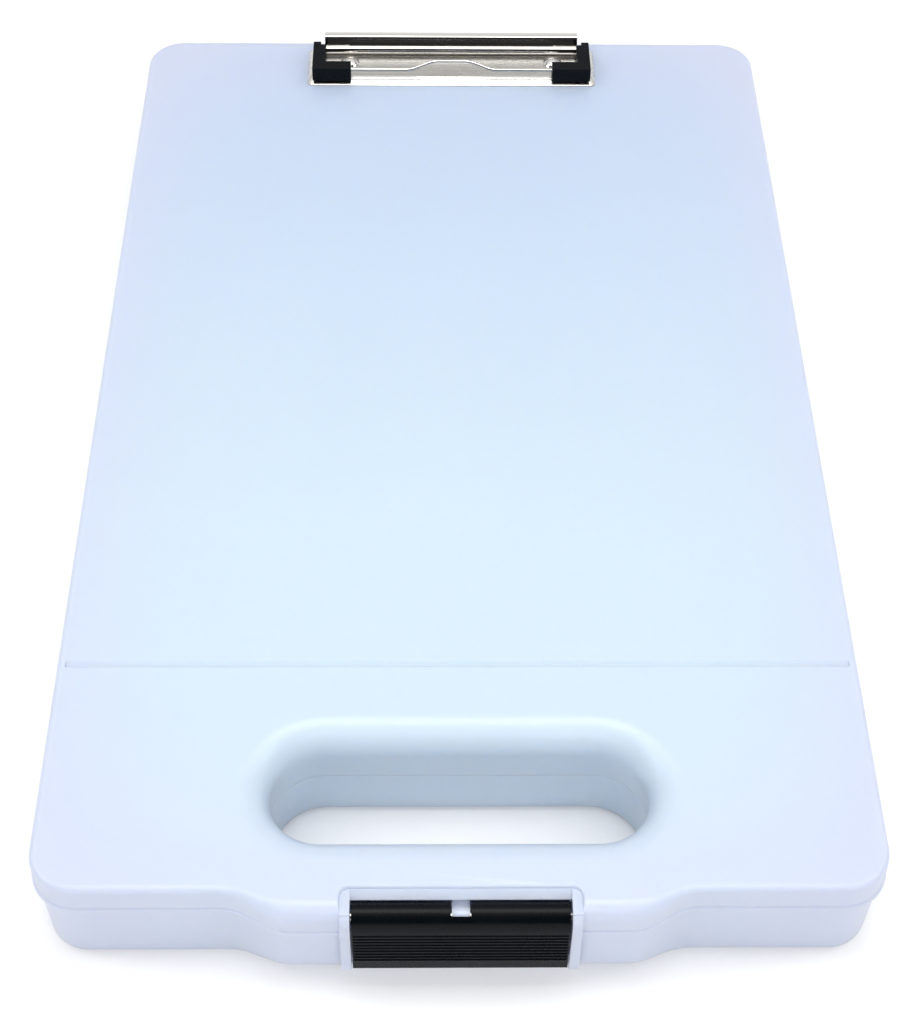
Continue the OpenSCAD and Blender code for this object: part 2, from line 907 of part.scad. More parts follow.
// The middle of the web's line, moved along the sheet's thickness
function panel_line(shift) =
    let(web = web_line())
    [for (i = [1:web_steps - 1]) web[i] + [shift, 0]];

// A bent sheet's section from its centre line
function sheet(line, t) =
    let(
        n = len(line),
        side = [
            for (i = [0:n - 1])
                let(
                    d = line[min(i + 1, n - 1)] - line[max(i - 1, 0)],
                    u = d / norm(d)
                )
                [-u[1], u[0]] * t / 2
        ]
    )
    concat([for (i = [0:n - 1]) line[i] + side[i]], [for (i = [n - 1:-1:0]) line[i] - side[i]]);

// A bent sheet along the lever, leaning back from the pivot
module lever_sheet(line, t, width) {
    along_x(-width / 2, width)
        translate([pivot_y, pivot_z])
        rotate(-lever_lean)
        polygon(sheet(line, t));
}

module clip_lever() {
    panel_w = lever_w - 2 * lever_panel_end;
    hollow_t = sheet_t + cut;
    hollow_shift = (sheet_t + hollow_t) / 2 - lever_panel_h;
    color("silver")
        difference() {
            union() {
                rod(-lever_w / 2, pivot_y, pivot_z, roll_r, lever_w);
                difference() {
                    union() {
                        lever_sheet(lever_line(), sheet_t, lever_w);
                        lever_sheet(panel_line(-lever_panel_h), sheet_t, panel_w);
                    }
                    // The sheet is pressed forward, so the panel is hollow behind
                    lever_sheet(panel_line(hollow_shift), hollow_t, panel_w - 2 * sheet_t);
                }
            }
            rod(-lever_w / 2 - cut, pivot_y, pivot_z, roll_bore_r, lever_w + 2 * cut);
        }
}

// Spring wire: the jaw in front, a leg each side and the rod that it turns on

leg_slope = atan2(jaw_z - pivot_z, pivot_y - jaw_y);

// The right half of the wire's route, from the end of its rod to its middle
function wire_half() =
    let(
        rise = tan(leg_slope),
        leg_end = jaw_y + wire_bend_r,
        rod_turn = arc_points(leg_x - wire_bend_r, pivot_y - wire_bend_r, wire_bend_r, 90, 0, 4),
        jaw_turn = arc_points(leg_x - wire_bend_r, leg_end, wire_bend_r, 0, -90, 4),
        hump = [
            for (i = [0:8])
                let(
                    t = i / 8,
                    share = (1 - cos(180 * t)) / 2
                )
                [mix(jaw_bend_x, jaw_flat_x, t), jaw_y + jaw_bend * share, jaw_z + jaw_rise * share]
        ]
    )
    concat(
        [[leg_x - wire_bend_r - part_gap, pivot_y, pivot_z]],
        [for (p = rod_turn) [p[0], p[1], pivot_z + (pivot_y - p[1]) * rise]],
        [for (p = jaw_turn) [p[0], p[1], pivot_z + (pivot_y - p[1]) * rise]],
        hump
    );

function wire_route() =
    let(half = wire_half(), n = len(half))
    concat(half, [for (i = [n - 1:-1:0]) [-half[i][0], half[i][1], half[i][2]]]);

// A round bar along a route, with eight sides
module sweep(route, r) {
    sides = 8;
    n = len(route);
    function ahead(i) =
        let(d = route[min(i + 1, n - 1)] - route[max(i - 1, 0)]) d / norm(d);
    rings = [
        for (i = [0:n - 1])
            let(
                t = ahead(i),
                flat = cross([0, 0, 1], t),
                u = flat / norm(flat),
                v = cross(t, u)
            )
            [for (k = [0:sides - 1]) route[i] + r * (u * cos(45 * k + 22.5) + v * sin(45 * k + 22.5))]
    ];
    faces = [
        [for (k = [0:sides - 1]) k],
        for (i = [1:n - 1], k = [0:sides - 1])
            let(a = sides * (i - 1), b = sides * i, j = (k + 1) % sides)
            each [[a + k, b + k, b + j], [a + k, b + j, a + j]],
        [for (k = [sides - 1:-1:0]) sides * (n - 1) + k],
    ];
    polyhedron(points = [for (ring = rings) each ring], faces = faces, convexity = 6);
}

module clip_wire() {
    straight = leg_x - wire_bend_r;
    color("silver") {
        rod(-straight, pivot_y, pivot_z, wire_r, 2 * straight);
        sweep(wire_route(), wire_r - 0.02);
    }
}

// Grip: an L of soft plastic over each corner of the wire, round where it turns
module grip(side) {
    inner_x = grip_x - grip_l;
    rear_x = ear_x + ear_t + part_gap;
    rear_y = pivot_y - ear_r - part_gap;
    rear_r = pivot_z - grip_z;
    top_z = grip_z + grip_h;
    color("black")
        difference() {
            union() {
                block([inner_x, grip_front_y, grip_z], [grip_x, grip_front_y + grip_w, top_z]);
                block([grip_x - grip_w, grip_front_y, grip_z], [grip_x, rear_y, top_z]);
                along_x(rear_x, grip_x - rear_x)
                    polygon([
                        [rear_y - cut, grip_z], [pivot_y, grip_z],
                        [pivot_y + rear_r / 2, pivot_z], [pivot_y + rear_r / 2, top_z],
                        [rear_y - cut, top_z],
                    ]);
                rod(rear_x, pivot_y, pivot_z, rear_r, grip_x - rear_x);
            }
            sweep(wire_route(), wire_r + pin_gap);
        }
}

tray_shell();
lid_shell();
color("silver") hinge_pin(-1);  // hinge_pin_left
color("silver") hinge_pin(1);  // hinge_pin_right
latch();
latch_pin();
clip_base();
rivet(-1);  // rivet_left
rivet(1);  // rivet_right
rivet_washer(-1);  // rivet_washer_left
rivet_washer(1);  // rivet_washer_right
clip_lever();
clip_wire();
mirror([1, 0, 0]) grip(1);  // grip_left
grip(1);  // grip_right
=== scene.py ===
"""Looks of the storage clipboard box: frosted case, black latch and sheet metal clip.

Sizes in the classes are millimetres in the frame of the solids, with +Y towards the
hinges and the clip and +Z up. Meshes are written in metres.
"""

import logging
import math
from dataclasses import dataclass
from enum import Enum
from typing import Any, ClassVar, Iterable, Sequence

import bmesh
import bpy
from mathutils import Matrix, Vector


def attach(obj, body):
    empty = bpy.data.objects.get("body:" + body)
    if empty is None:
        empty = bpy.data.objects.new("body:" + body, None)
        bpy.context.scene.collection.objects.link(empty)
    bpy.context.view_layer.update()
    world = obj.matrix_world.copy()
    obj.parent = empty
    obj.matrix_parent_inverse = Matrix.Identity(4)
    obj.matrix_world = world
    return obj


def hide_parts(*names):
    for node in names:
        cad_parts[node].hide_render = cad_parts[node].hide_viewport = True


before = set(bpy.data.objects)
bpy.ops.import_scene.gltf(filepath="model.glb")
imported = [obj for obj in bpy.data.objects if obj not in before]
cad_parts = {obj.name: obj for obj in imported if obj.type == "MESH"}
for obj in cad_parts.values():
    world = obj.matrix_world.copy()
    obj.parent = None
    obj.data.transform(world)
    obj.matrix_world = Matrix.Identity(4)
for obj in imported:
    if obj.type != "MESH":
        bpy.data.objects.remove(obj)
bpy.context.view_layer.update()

LOG = logging.getLogger("clipboard_box")
MM = 0.001
SMOOTH_ANGLE = math.radians(32)
SHEET_ANGLE = math.radians(38)
MERGE_MM = 0.002
TIP_R = 0.02
PAST_WEB = 99.0

Pair = tuple[float, float]
Place = tuple[float, float, float]
Ring = list[Place]
Colour = tuple[float, float, float, float]
Piece = bpy.types.Object
Material = bpy.types.Material
Vert = bmesh.types.BMVert


class Sock:
    """A shader socket that takes part in Python arithmetic."""

    def __init__(self, graph: "Graph", socket: bpy.types.NodeSocket) -> None:
        """Keeps the socket and the graph that new Math nodes go to."""
        self.graph = graph
        self.socket = socket

    def _math(self, operation: str, first: Any, second: Any) -> "Sock":
        """Adds a Math node of two values and returns its output."""
        return self.graph.node("ShaderNodeMath", {"operation": operation}, {0: first, 1: second})[0]

    def __add__(self, other: Any) -> "Sock":
        """self + other."""
        return self._math("ADD", self, other)

    def __radd__(self, other: Any) -> "Sock":
        """other + self."""
        return self._math("ADD", other, self)

    def __sub__(self, other: Any) -> "Sock":
        """self - other."""
        return self._math("SUBTRACT", self, other)

    def __rsub__(self, other: Any) -> "Sock":
        """other - self."""
        return self._math("SUBTRACT", other, self)

    def __mul__(self, other: Any) -> "Sock":
        """self * other."""
        return self._math("MULTIPLY", self, other)

    def __rmul__(self, other: Any) -> "Sock":
        """other * self."""
        return self._math("MULTIPLY", other, self)

    def __pow__(self, other: Any) -> "Sock":
        """self to the power of other."""
        return self._math("POWER", self, other)

    def size(self) -> "Sock":
        """self without its sign."""
        return self._math("ABSOLUTE", self, 0.0)

    def clamp(self) -> "Sock":
        """self held between 0 and 1."""
        return self.graph.node("ShaderNodeClamp", {}, {"Value": self})[0]


class Outputs:
    """The outputs of one node, by name or number."""

    def __init__(self, graph: "Graph", node: bpy.types.Node) -> None:
        """Keeps the node."""
        self.graph = graph
        self.node = node

    def __getitem__(self, key: str | int) -> Sock:
        """The output of that name or number."""
        return Sock(self.graph, self.node.outputs[key])


class Graph:
    """The node tree of one material or world."""

    def __init__(self, tree: bpy.types.NodeTree) -> None:
        """Empties the tree."""
        tree.nodes.clear()
        self.tree = tree

    def node(self, kind: str, settings: dict[str, Any], values: dict[Any, Any]) -> Outputs:
        """Adds one node.

        Args:
            kind: The node's type.
            settings: Properties set before its sockets; "stops" fills a ramp.
            values: Values or links of its input sockets, by name or number.

        Returns:
            The node's outputs.
        """
        node = self.tree.nodes.new(kind)
        for key, value in settings.items():
            if key == "stops":
                self._fill_ramp(node.color_ramp, value)
            else:
                setattr(node, key, value)
        for key, value in values.items():
            if isinstance(value, Sock):
                self.tree.links.new(value.socket, node.inputs[key])
            else:
                node.inputs[key].default_value = value
        return Outputs(self, node)

    @staticmethod
    def _fill_ramp(ramp: bpy.types.ColorRamp, stops: Sequence[tuple[float, tuple]]) -> None:
        """Gives a colour ramp its stops."""
        while len(ramp.elements) < len(stops):
            ramp.elements.new(0.5)
        for element, (place, colour) in zip(ramp.elements, stops):
            element.position = place
            element.color = colour

    def mix(self, share: Any, first: Any, second: Any) -> Sock:
        """A colour between two colours."""
        made = self.node("ShaderNodeMix", {"data_type": "RGBA"}, {0: share, 6: first, 7: second})
        return made[2]

    def object_coords(self) -> Sock:
        """Places on the piece, in metres."""
        return self.node("ShaderNodeTexCoord", {}, {})["Object"]

    def axes(self, coords: Sock) -> tuple[Sock, Sock, Sock]:
        """The three parts of a vector."""
        parts = self.node("ShaderNodeSeparateXYZ", {}, {0: coords})
        return parts[0], parts[1], parts[2]

    def stretched(self, scale: Place) -> Sock:
        """Object coordinates stretched along each axis."""
        values = {"Vector": self.object_coords(), "Scale": scale}
        return self.node("ShaderNodeMapping", {}, values)[0]

    def noise(self, coords: Sock, scale: float, detail: float = 3.0) -> Sock:
        """Soft random values between 0 and 1."""
        values = {"Vector": coords, "Scale": scale, "Detail": detail}
        return self.node("ShaderNodeTexNoise", {}, values)["Fac"]

    def principled(self, values: dict[str, Any]) -> Sock:
        """A surface shader."""
        return self.node("ShaderNodeBsdfPrincipled", {}, values)["BSDF"]

    def bump(self, height: Sock, depth_mm: float, strength: float = 1.0) -> Sock:
        """A normal raised by a height, in millimetres."""
        values = {"Height": height, "Distance": depth_mm * MM, "Strength": strength}
        return self.node("ShaderNodeBump", {}, values)["Normal"]


def linear(red: int, green: int, blue: int) -> Colour:
    """A display colour of 0 to 255 as linear light."""
    def one(value: int) -> float:
        """One channel."""
        share = value / 255
        return share / 12.92 if share <= 0.04045 else ((share + 0.055) / 1.055) ** 2.4

    return (one(red), one(green), one(blue), 1.0)


@dataclass(frozen=True)
class Finish:
    """A surface finish that makes one material."""

    name: str

    def material(self) -> Material:
        """The finish as a material."""
        made = bpy.data.materials.new(self.name)
        made.use_nodes = True
        graph = Graph(made.node_tree)
        shader = self.surface(graph)
        graph.node("ShaderNodeOutputMaterial", {}, {"Surface": shader})
        return made

    def surface(self, graph: Graph) -> Sock:
        """The finish's shader."""
        raise NotImplementedError


@dataclass(frozen=True)
class FrostedPlastic(Finish):
    """Cloudy polypropylene: pale blue, soft, with a fine moulded grain."""

    pale: Colour = linear(221, 238, 255)
    # Painted shade: the darker colour that the skin takes towards the far end.
    painted_far_shade: Colour = linear(208, 225, 252)
    rim: Colour = linear(221, 228, 250)
    see_through: float = 0.34
    cloud: float = 0.5
    cloud_mm: float = 1.3
    roughness: float = 0.3
    grain_mm: float = 0.004

    def surface(self, graph: Graph) -> Sock:
        """A cloudy skin that lets some light through, more lavender towards the rim, and darker
        towards the far end as painted shade.
        """
        coords = graph.object_coords()
        across, along, _ = graph.axes(coords)
        flow = graph.noise(graph.stretched((6.0, 2.2, 9.0)), 2.0, 2.0)
        grain = graph.noise(coords, 2400.0, 2.0)
        smear = graph.noise(coords, 42.0, 3.0)
        edge = ((across.size() * 8.0) ** 5.0 + (along.size() * 4.9) ** 5.0).clamp()
        # Painted shade: the skin darkens towards the far end (+Y), mixed with random cloudy tone
        # from the flow noise.
        far = (0.3 * flow + 4.2 * along + 0.1).clamp()
        skin = graph.mix(far, self.pale, self.painted_far_shade)
        return graph.principled(
            {
                "Base Color": graph.mix(edge, skin, self.rim),
                "Roughness": self.roughness + 0.03 * (smear - 0.5) + 0.03 * (grain - 0.5),
                "Normal": graph.bump(grain, self.grain_mm, 0.4),
                "IOR": 1.49,
                "Transmission Weight": self.see_through,
                "Subsurface Weight": self.cloud,
                "Subsurface Radius": (1.0, 1.1, 1.3),
                "Subsurface Scale": self.cloud_mm * MM,
            }
        )


@dataclass(frozen=True)
class SatinBlack(Finish):
    """Black moulded plastic with a bluish sheen, worn a little in cloudy patches."""

    dark: Colour = linear(5, 8, 13)
    worn: Colour = linear(12, 16, 22)
    roughness: float = 0.27
    gloss: float = 0.1

    def surface(self, graph: Graph) -> Sock:
        """Fine grain, cloudy wear and a soft gloss."""
        coords = graph.object_coords()
        cloud = graph.noise(coords, 60.0, 4.0)
        grain = graph.noise(coords, 1800.0, 2.0)
        wear = ((cloud - 0.48) * 4.0).clamp()
        return graph.principled(
            {
                "Base Color": graph.mix(wear * 0.5, self.dark, self.worn),
                "Roughness": self.roughness + 0.10 * wear + 0.08 * (grain - 0.5),
                "Normal": graph.bump(grain, 0.02, 0.6),
                "IOR": 1.5,
                "Specular IOR Level": self.gloss,
            }
        )


class Brush(Enum):
    """Direction of the fine lines in plated sheet."""

    ALONG_X = (8.0, 900.0, 900.0)
    NONE = (60.0, 60.0, 60.0)


@dataclass(frozen=True)
class PlatedMetal(Finish):
    """Nickel over steel: bright, with fine drawn lines and faint smears."""

    bright: Colour = linear(226, 224, 220)
    dull: Colour = linear(206, 203, 198)
    roughness: float = 0.14
    brush: Brush = Brush.ALONG_X
    line_mm: float = 0.003

    def surface(self, graph: Graph) -> Sock:
        """Metal whose gloss changes along its drawn lines."""
        lines = graph.noise(graph.stretched(self.brush.value), 1.0, 3.0)
        smear = graph.noise(graph.object_coords(), 75.0, 3.0)
        return graph.principled(
            {
                "Base Color": graph.mix(lines, self.dull, self.bright),
                "Metallic": 1.0,
                "Roughness": self.roughness + 0.12 * (lines - 0.4) + 0.06 * (smear - 0.5),
                "Normal": graph.bump(lines, self.line_mm, 0.5),
            }
        )


@dataclass(frozen=True)
class WhiteSweep(Finish):
    """The studio's white paper, which stays white round the shadow."""

    paper: Colour = linear(236, 236, 236)
    lift: float = 0.06
    far_lift: float = 0.6
    far_from: float = 0.4

    def surface(self, graph: Graph) -> Sock:
        """Plain paper, lifted to white where it is looked at, and more so far from the case."""
        ray = graph.node("ShaderNodeLightPath", {}, {})
        seen = (ray["Is Camera Ray"] + ray["Is Glossy Ray"] + ray["Is Transmission Ray"]).clamp()
        across, along, _ = graph.axes(graph.object_coords())
        away = (across**2.0 + along**2.0) ** 0.5 - self.far_from
        lift = self.lift + self.far_lift * away.clamp()
        paper = graph.node("ShaderNodeBsdfDiffuse", {}, {"Color": self.paper})["BSDF"]
        glow = graph.node(
            "ShaderNodeEmission", {}, {"Color": (1.0, 1.0, 1.0, 1.0), "Strength": seen * lift}
        )["Emission"]
        return graph.node("ShaderNodeAddShader", {}, {0: paper, 1: glow})[0]


def new_object(name: str, mesh: bpy.types.Mesh) -> Piece:
    """Puts a mesh in the scene at the origin."""
    made = bpy.data.objects.new(name, mesh)
    bpy.context.scene.collection.objects.link(made)
    return made


def from_bmesh(name: str, bm: bmesh.types.BMesh, recalc: bool = True) -> Piece:
    """Makes an object of a bmesh in millimetres.

    Args:
        name: The object's name.
        bm: The mesh, in millimetres; it is freed.
        recalc: Whether its faces are turned outwards first.

    Returns:
        The new object, in metres.
    """
    if recalc:
        bmesh.ops.recalc_face_normals(bm, faces=bm.faces)
    bmesh.ops.scale(bm, vec=(MM, MM, MM), verts=bm.verts)
    mesh = bpy.data.meshes.new(name)
    bm.to_mesh(mesh)
    bm.free()
    return new_object(name, mesh)


def add_bands(bm: bmesh.types.BMesh, loops: Sequence[Sequence[Vert]]) -> None:
    """Joins closed loops with as many points each by quads."""
    for first, second in zip(loops, loops[1:]):
        count = len(first)
        for i in range(count):
            k = (i + 1) % count
            bm.faces.new((first[i], first[k], second[k], second[i]))


def add_web(
    bm: bmesh.types.BMesh,
    outer: Sequence[Vert],
    inner: Sequence[Vert],
    centre: Pair,
) -> None:
    """Fills the flat between two loops by triangles, matched by their angle round a centre."""
    def turned(loop: Sequence[Vert]) -> list[tuple[float, Vert]]:
        """The loop with its angles, from the lowest on."""
        angles = [
            (math.atan2(v.co.y - centre[1], v.co.x - centre[0]) % math.tau, v) for v in loop
        ]
        start = min(range(len(angles)), key=lambda i: angles[i][0])
        return angles[start:] + angles[:start]

    a, b = turned(outer), turned(inner)
    i = j = 0
    while i < len(a) or j < len(b):
        next_a = a[i + 1][0] if i + 1 < len(a) else a[0][0] + math.tau
        next_b = b[j + 1][0] if j + 1 < len(b) else b[0][0] + math.tau
        now_a, now_b = a[i % len(a)][1], b[j % len(b)][1]
        if j >= len(b) or (i < len(a) and next_a <= next_b):
            bm.faces.new((now_a, a[(i + 1) % len(a)][1], now_b))
            i += 1
        else:
            bm.faces.new((now_a, b[(j + 1) % len(b)][1], now_b))
            j += 1


def solid(name: str, rings: Sequence[Ring]) -> Piece:
    """A closed solid through rings with as many points each, capped at both ends."""
    bm = bmesh.new()
    loops = [[bm.verts.new(place) for place in ring] for ring in rings]
    add_bands(bm, loops)
    bm.faces.new(loops[0])
    bm.faces.new(loops[-1])
    return from_bmesh(name, bm)


def arc(centre: Pair, r: float, start: float, end: float, steps: int) -> list[Pair]:
    """Points on an arc, with angles in degrees."""
    return [
        (
            centre[0] + r * math.cos(math.radians(start + (end - start) * i / steps)),
            centre[1] + r * math.sin(math.radians(start + (end - start) * i / steps)),
        )
        for i in range(steps + 1)
    ]


def circle(centre: Pair, r: float, steps: int = 40) -> list[Pair]:
    """Points round a circle."""
    return arc(centre, r, 0, 360 - 360 / steps, steps - 1)


def prism(name: str, profile: Sequence[Pair], x0: float, x1: float) -> Piece:
    """A profile in Y and Z pushed out along X."""
    return solid(name, [[(x, y, z) for y, z in profile] for x in (x0, x1)])


def rod(name: str, centre: Pair, r: float, x0: float, x1: float, steps: int = 24) -> Piece:
    """A round bar along X about a centre in Y and Z."""
    return prism(name, circle(centre, r, steps), x0, x1)


def pair(name: str, profile: Sequence[Pair], near: float, far: float) -> list[Piece]:
    """The same prism at both sides of the middle, the left one first."""
    return [prism(name, profile, -far, -near), prism(name, profile, near, far)]


def box(name: str, low: Place, high: Place) -> Piece:
    """A box between two corners, for cuts and walls."""
    (x0, y0, z0), (x1, y1, z1) = low, high
    return prism(name, [(y0, z0), (y1, z0), (y1, z1), (y0, z1)], x0, x1)


def lathe(name: str, profile: Sequence[Pair], centre: Pair, steps: int = 48) -> Piece:
    """A profile of radius and height turned about an upright axis, closed at both ends."""
    rings = [[(x, y, z) for x, y in circle(centre, max(r, TIP_R), steps)] for r, z in profile]
    return solid(name, rings)


class Join(Enum):
    """What a boolean does with its tools."""

    ADD = "UNION"
    CUT = "DIFFERENCE"


def joined(body: Piece, how: Join, tools: Sequence[Piece]) -> None:
    """Adds tools to a body or cuts them from it, and removes the tools."""
    for tool in tools:
        step = body.modifiers.new("step", "BOOLEAN")
        step.operation = how.value
        step.solver = "MANIFOLD"
        step.object = tool
        settle(body)
        mesh = tool.data
        bpy.data.objects.remove(tool)
        bpy.data.meshes.remove(mesh)


def settle(body: Piece) -> None:
    """Applies a piece's modifiers to its mesh."""
    graph = bpy.context.evaluated_depsgraph_get()
    mesh = bpy.data.meshes.new_from_object(body.evaluated_get(graph))
    body.modifiers.clear()
    old = body.data
    body.data = mesh
    bpy.data.meshes.remove(old)


def smoothed(body: Piece, angle: float = SMOOTH_ANGLE) -> Piece:
    """Shades a piece smooth, with its sharp edges kept, and returns it."""
    bm = bmesh.new()
    bm.from_mesh(body.data)
    bmesh.ops.remove_doubles(bm, verts=bm.verts, dist=MERGE_MM * MM)
    bmesh.ops.dissolve_degenerate(bm, edges=bm.edges, dist=MERGE_MM * MM)
    bm.to_mesh(body.data)
    bm.free()
    mesh = body.data
    mesh.polygons.foreach_set("use_smooth", [True] * len(mesh.polygons))
    mesh.set_sharp_from_angle(angle=angle)
    weigh = body.modifiers.new("normals", "WEIGHTED_NORMAL")
    weigh.keep_sharp = True
    weigh.weight = 100
    settle(body)
    return body


def rounded_edges(body: Piece, width: float, steps: int = 2, angle: float = 40) -> None:
    """Rounds a piece's sharp edges by a width in millimetres."""
    bevel = body.modifiers.new("edges", "BEVEL")
    bevel.width = width * MM
    bevel.segments = steps
    bevel.limit_method = "ANGLE"
    bevel.angle_limit = math.radians(angle)
    bevel.harden_normals = False
    settle(body)


def dress(
    piece: Piece,
    material: Material,
    body: str,
    nodes: Iterable[str] = (),
) -> None:
    """Gives a piece its material and body, and hides the CAD nodes that it stands for."""
    piece.data.materials.clear()
    piece.data.materials.append(material)
    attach(piece, body)
    nodes = tuple(nodes)
    if nodes:
        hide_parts(*nodes)
    LOG.info("%s rides on %s", piece.name, body)


@dataclass(frozen=True)
class CaseForm:
    """Sizes that the lid and the tray share."""

    width: float = 240.0
    length: float = 390.0
    height: float = 37.0
    seam_z: float = 26.0
    front_y: float = -194.175
    corner_r: float = 14.0
    bump_full: float = 47.0
    bump_blend: float = 19.0
    bump_out: float = 7.5
    slot_l: float = 109.0
    slot_w: float = 31.0
    slot_y: float = 34.6
    slot_seam_z: float = 18.5
    lid_wall: float = 2.0
    tray_wall: float = 2.2
    gap: float = 0.3
    corner_steps: int = 18
    blend_steps: int = 26
    side_steps: int = 18
    slot_steps: int = 36

    @property
    def back_y(self) -> float:
        """The lid's far edge."""
        return self.front_y + self.length

    @property
    def bump_y(self) -> float:
        """The bump's face."""
        return self.front_y - self.bump_out

    @property
    def slot_centre(self) -> Pair:
        """Middle of the hand slot."""
        return (0.0, self.front_y + self.slot_y)

    def outline(self) -> list[tuple[float, float, float, float, float]]:
        """The lid's outline: place, inward direction and share of the bump."""
        points = []
        for side in (-1, 1):
            for i in range(self.blend_steps + 1):
                t = i / self.blend_steps if side < 0 else 1 - i / self.blend_steps
                share = (1 - math.cos(math.pi * t)) / 2
                x = side * (self.bump_full + self.bump_blend * (1 - t))
                points.append((x, self.front_y - self.bump_out * share, 0.0, 1.0, share))
        hx, r = self.width / 2 - self.corner_r, self.corner_r
        low, high = self.front_y + r, self.back_y - r
        corners = ((hx, low, -90), (hx, high, 0), (-hx, high, 90), (-hx, low, 180))
        for i, (x, y, start) in enumerate(corners):
            for px, py in arc((0, 0), 1.0, start, start + 90, self.corner_steps):
                points.append((x + r * px, y + r * py, -px, -py, 0.0))
            if i == 3:
                break
            last, after = points[-1], corners[i + 1]
            turn = math.radians(start + 90)
            end = (after[0] + r * math.cos(turn), after[1] + r * math.sin(turn))
            for k in range(1, self.side_steps):
                t = k / self.side_steps
                place = (last[0] + (end[0] - last[0]) * t, last[1] + (end[1] - last[1]) * t)
                points.append((*place, last[2], last[3], 0.0))
        return points

    def ring(self, inset: float, z: float) -> Ring:
        """A ring that follows the outline, set in from it."""
        return [(x + nx * inset, y + ny * inset, z) for x, y, nx, ny, _ in self.outline()]

    def edge_rings(
        self, inset: float, r: float, bump_r: float, z: float, up: int, angles: Iterable[float]
    ) -> list[Ring]:
        """Rings on a rounded edge: at 0 degrees on the wall, at 90 on the flat."""
        rings = []
        for turn in map(math.radians, angles):
            c, s = math.cos(turn), math.sin(turn)
            ring = []
            for x, y, nx, ny, share in self.outline():
                edge_r = r + (bump_r - r) * share
                shift = inset + edge_r * (1 - c)
                ring.append((x + nx * shift, y + ny * shift, z + up * edge_r * (1 - s)))
            rings.append(ring)
        return rings

    def slot_ring(self, grow: float, z: float) -> Ring:
        """A ring round the hand slot, grown outwards."""
        r = self.slot_w / 2 + grow
        hx, cy = self.slot_l / 2 - self.slot_w / 2, self.slot_centre[1]
        right = arc((hx, cy), r, -90, 90, self.slot_steps)
        left = arc((-hx, cy), r, 90, 270, self.slot_steps)
        return [(x, y, z) for x, y in right + left]

    def slot_edge_rings(
        self, grow: float, r: float, z: float, up: int, angles: Iterable[float]
    ) -> list[Ring]:
        """Rings on a rounded edge round the slot: at 0 degrees on the sleeve."""
        return [
            self.slot_ring(grow + r * (1 - math.cos(turn)), z + up * r * (1 - math.sin(turn)))
            for turn in map(math.radians, angles)
        ]

    def shell(self, name: str, case: Sequence[Ring], slot: Sequence[Ring]) -> Piece:
        """A closed shell round the slot.

        Args:
            name: The object's name.
            case: Rings along the case, from the inner flat out to the outer flat.
            slot: Rings along the sleeve, from the outer flat in to the inner flat.

        Returns:
            The shell.
        """
        bm = bmesh.new()
        outer = [[bm.verts.new(p) for p in ring] for ring in case]
        inner = [[bm.verts.new(p) for p in ring] for ring in slot]
        add_bands(bm, outer)
        add_bands(bm, inner)
        add_web(bm, outer[-1], inner[0], self.slot_centre)
        add_web(bm, outer[0], inner[-1], self.slot_centre)
        return from_bmesh(name, bm)


@dataclass(frozen=True)
class LatchSeat:
    """Sizes of the latch and of the room that the case leaves for it."""

    y: float = -197.775
    z: float = 30.2
    barrel_r: float = 4.2
    pin_r: float = 1.3
    width: float = 60.0
    side_gap: float = 0.4
    room_gap: float = 0.5
    cheek: float = 2.8
    back_wall: float = 1.5
    recess: float = 1.0
    recess_r: float = 2.6
    recess_back: float = 5.2
    shelf_angle: float = 52.0
    face_y: float = -202.775
    foot_z: float = 10.0
    plate: float = 2.0
    knuckle_w: float = 5.0
    knuckle_r: float = 2.7
    cheek_r: float = 5.6
    catch_z: float = 13.4
    catch_h: float = 0.65
    catch_gap: float = 0.25

    @property
    def room_r(self) -> float:
        """Radius of the room round the barrel."""
        return self.barrel_r + self.room_gap

    @property
    def room_x(self) -> float:
        """Half width of the room."""
        return self.width / 2 + self.side_gap

    @property
    def frame_x(self) -> float:
        """Half width over the cheeks."""
        return self.room_x + self.cheek

    @property
    def pocket_y(self) -> float:
        """Back of the tray's pocket."""
        return self.face_y + self.plate + 1.6


@dataclass(frozen=True)
class HingeForm:
    """Sizes of the two hinges at the far edge."""

    x: float = 80.0
    y: float = 199.725
    z: float = 26.0
    length: float = 36.0
    knuckle_r: float = 3.5
    pin_r: float = 1.45
    gap: float = 0.3

    @property
    def knuckle_l(self) -> float:
        """Length of one knuckle."""
        return (self.length - 2 * self.gap) / 3

    def bores(self) -> list[Piece]:
        """Tools that cut the bores."""
        half = self.length / 2 + 1
        return pair("bore", circle((self.y, self.z), self.pin_r, 24), self.x - half, self.x + half)


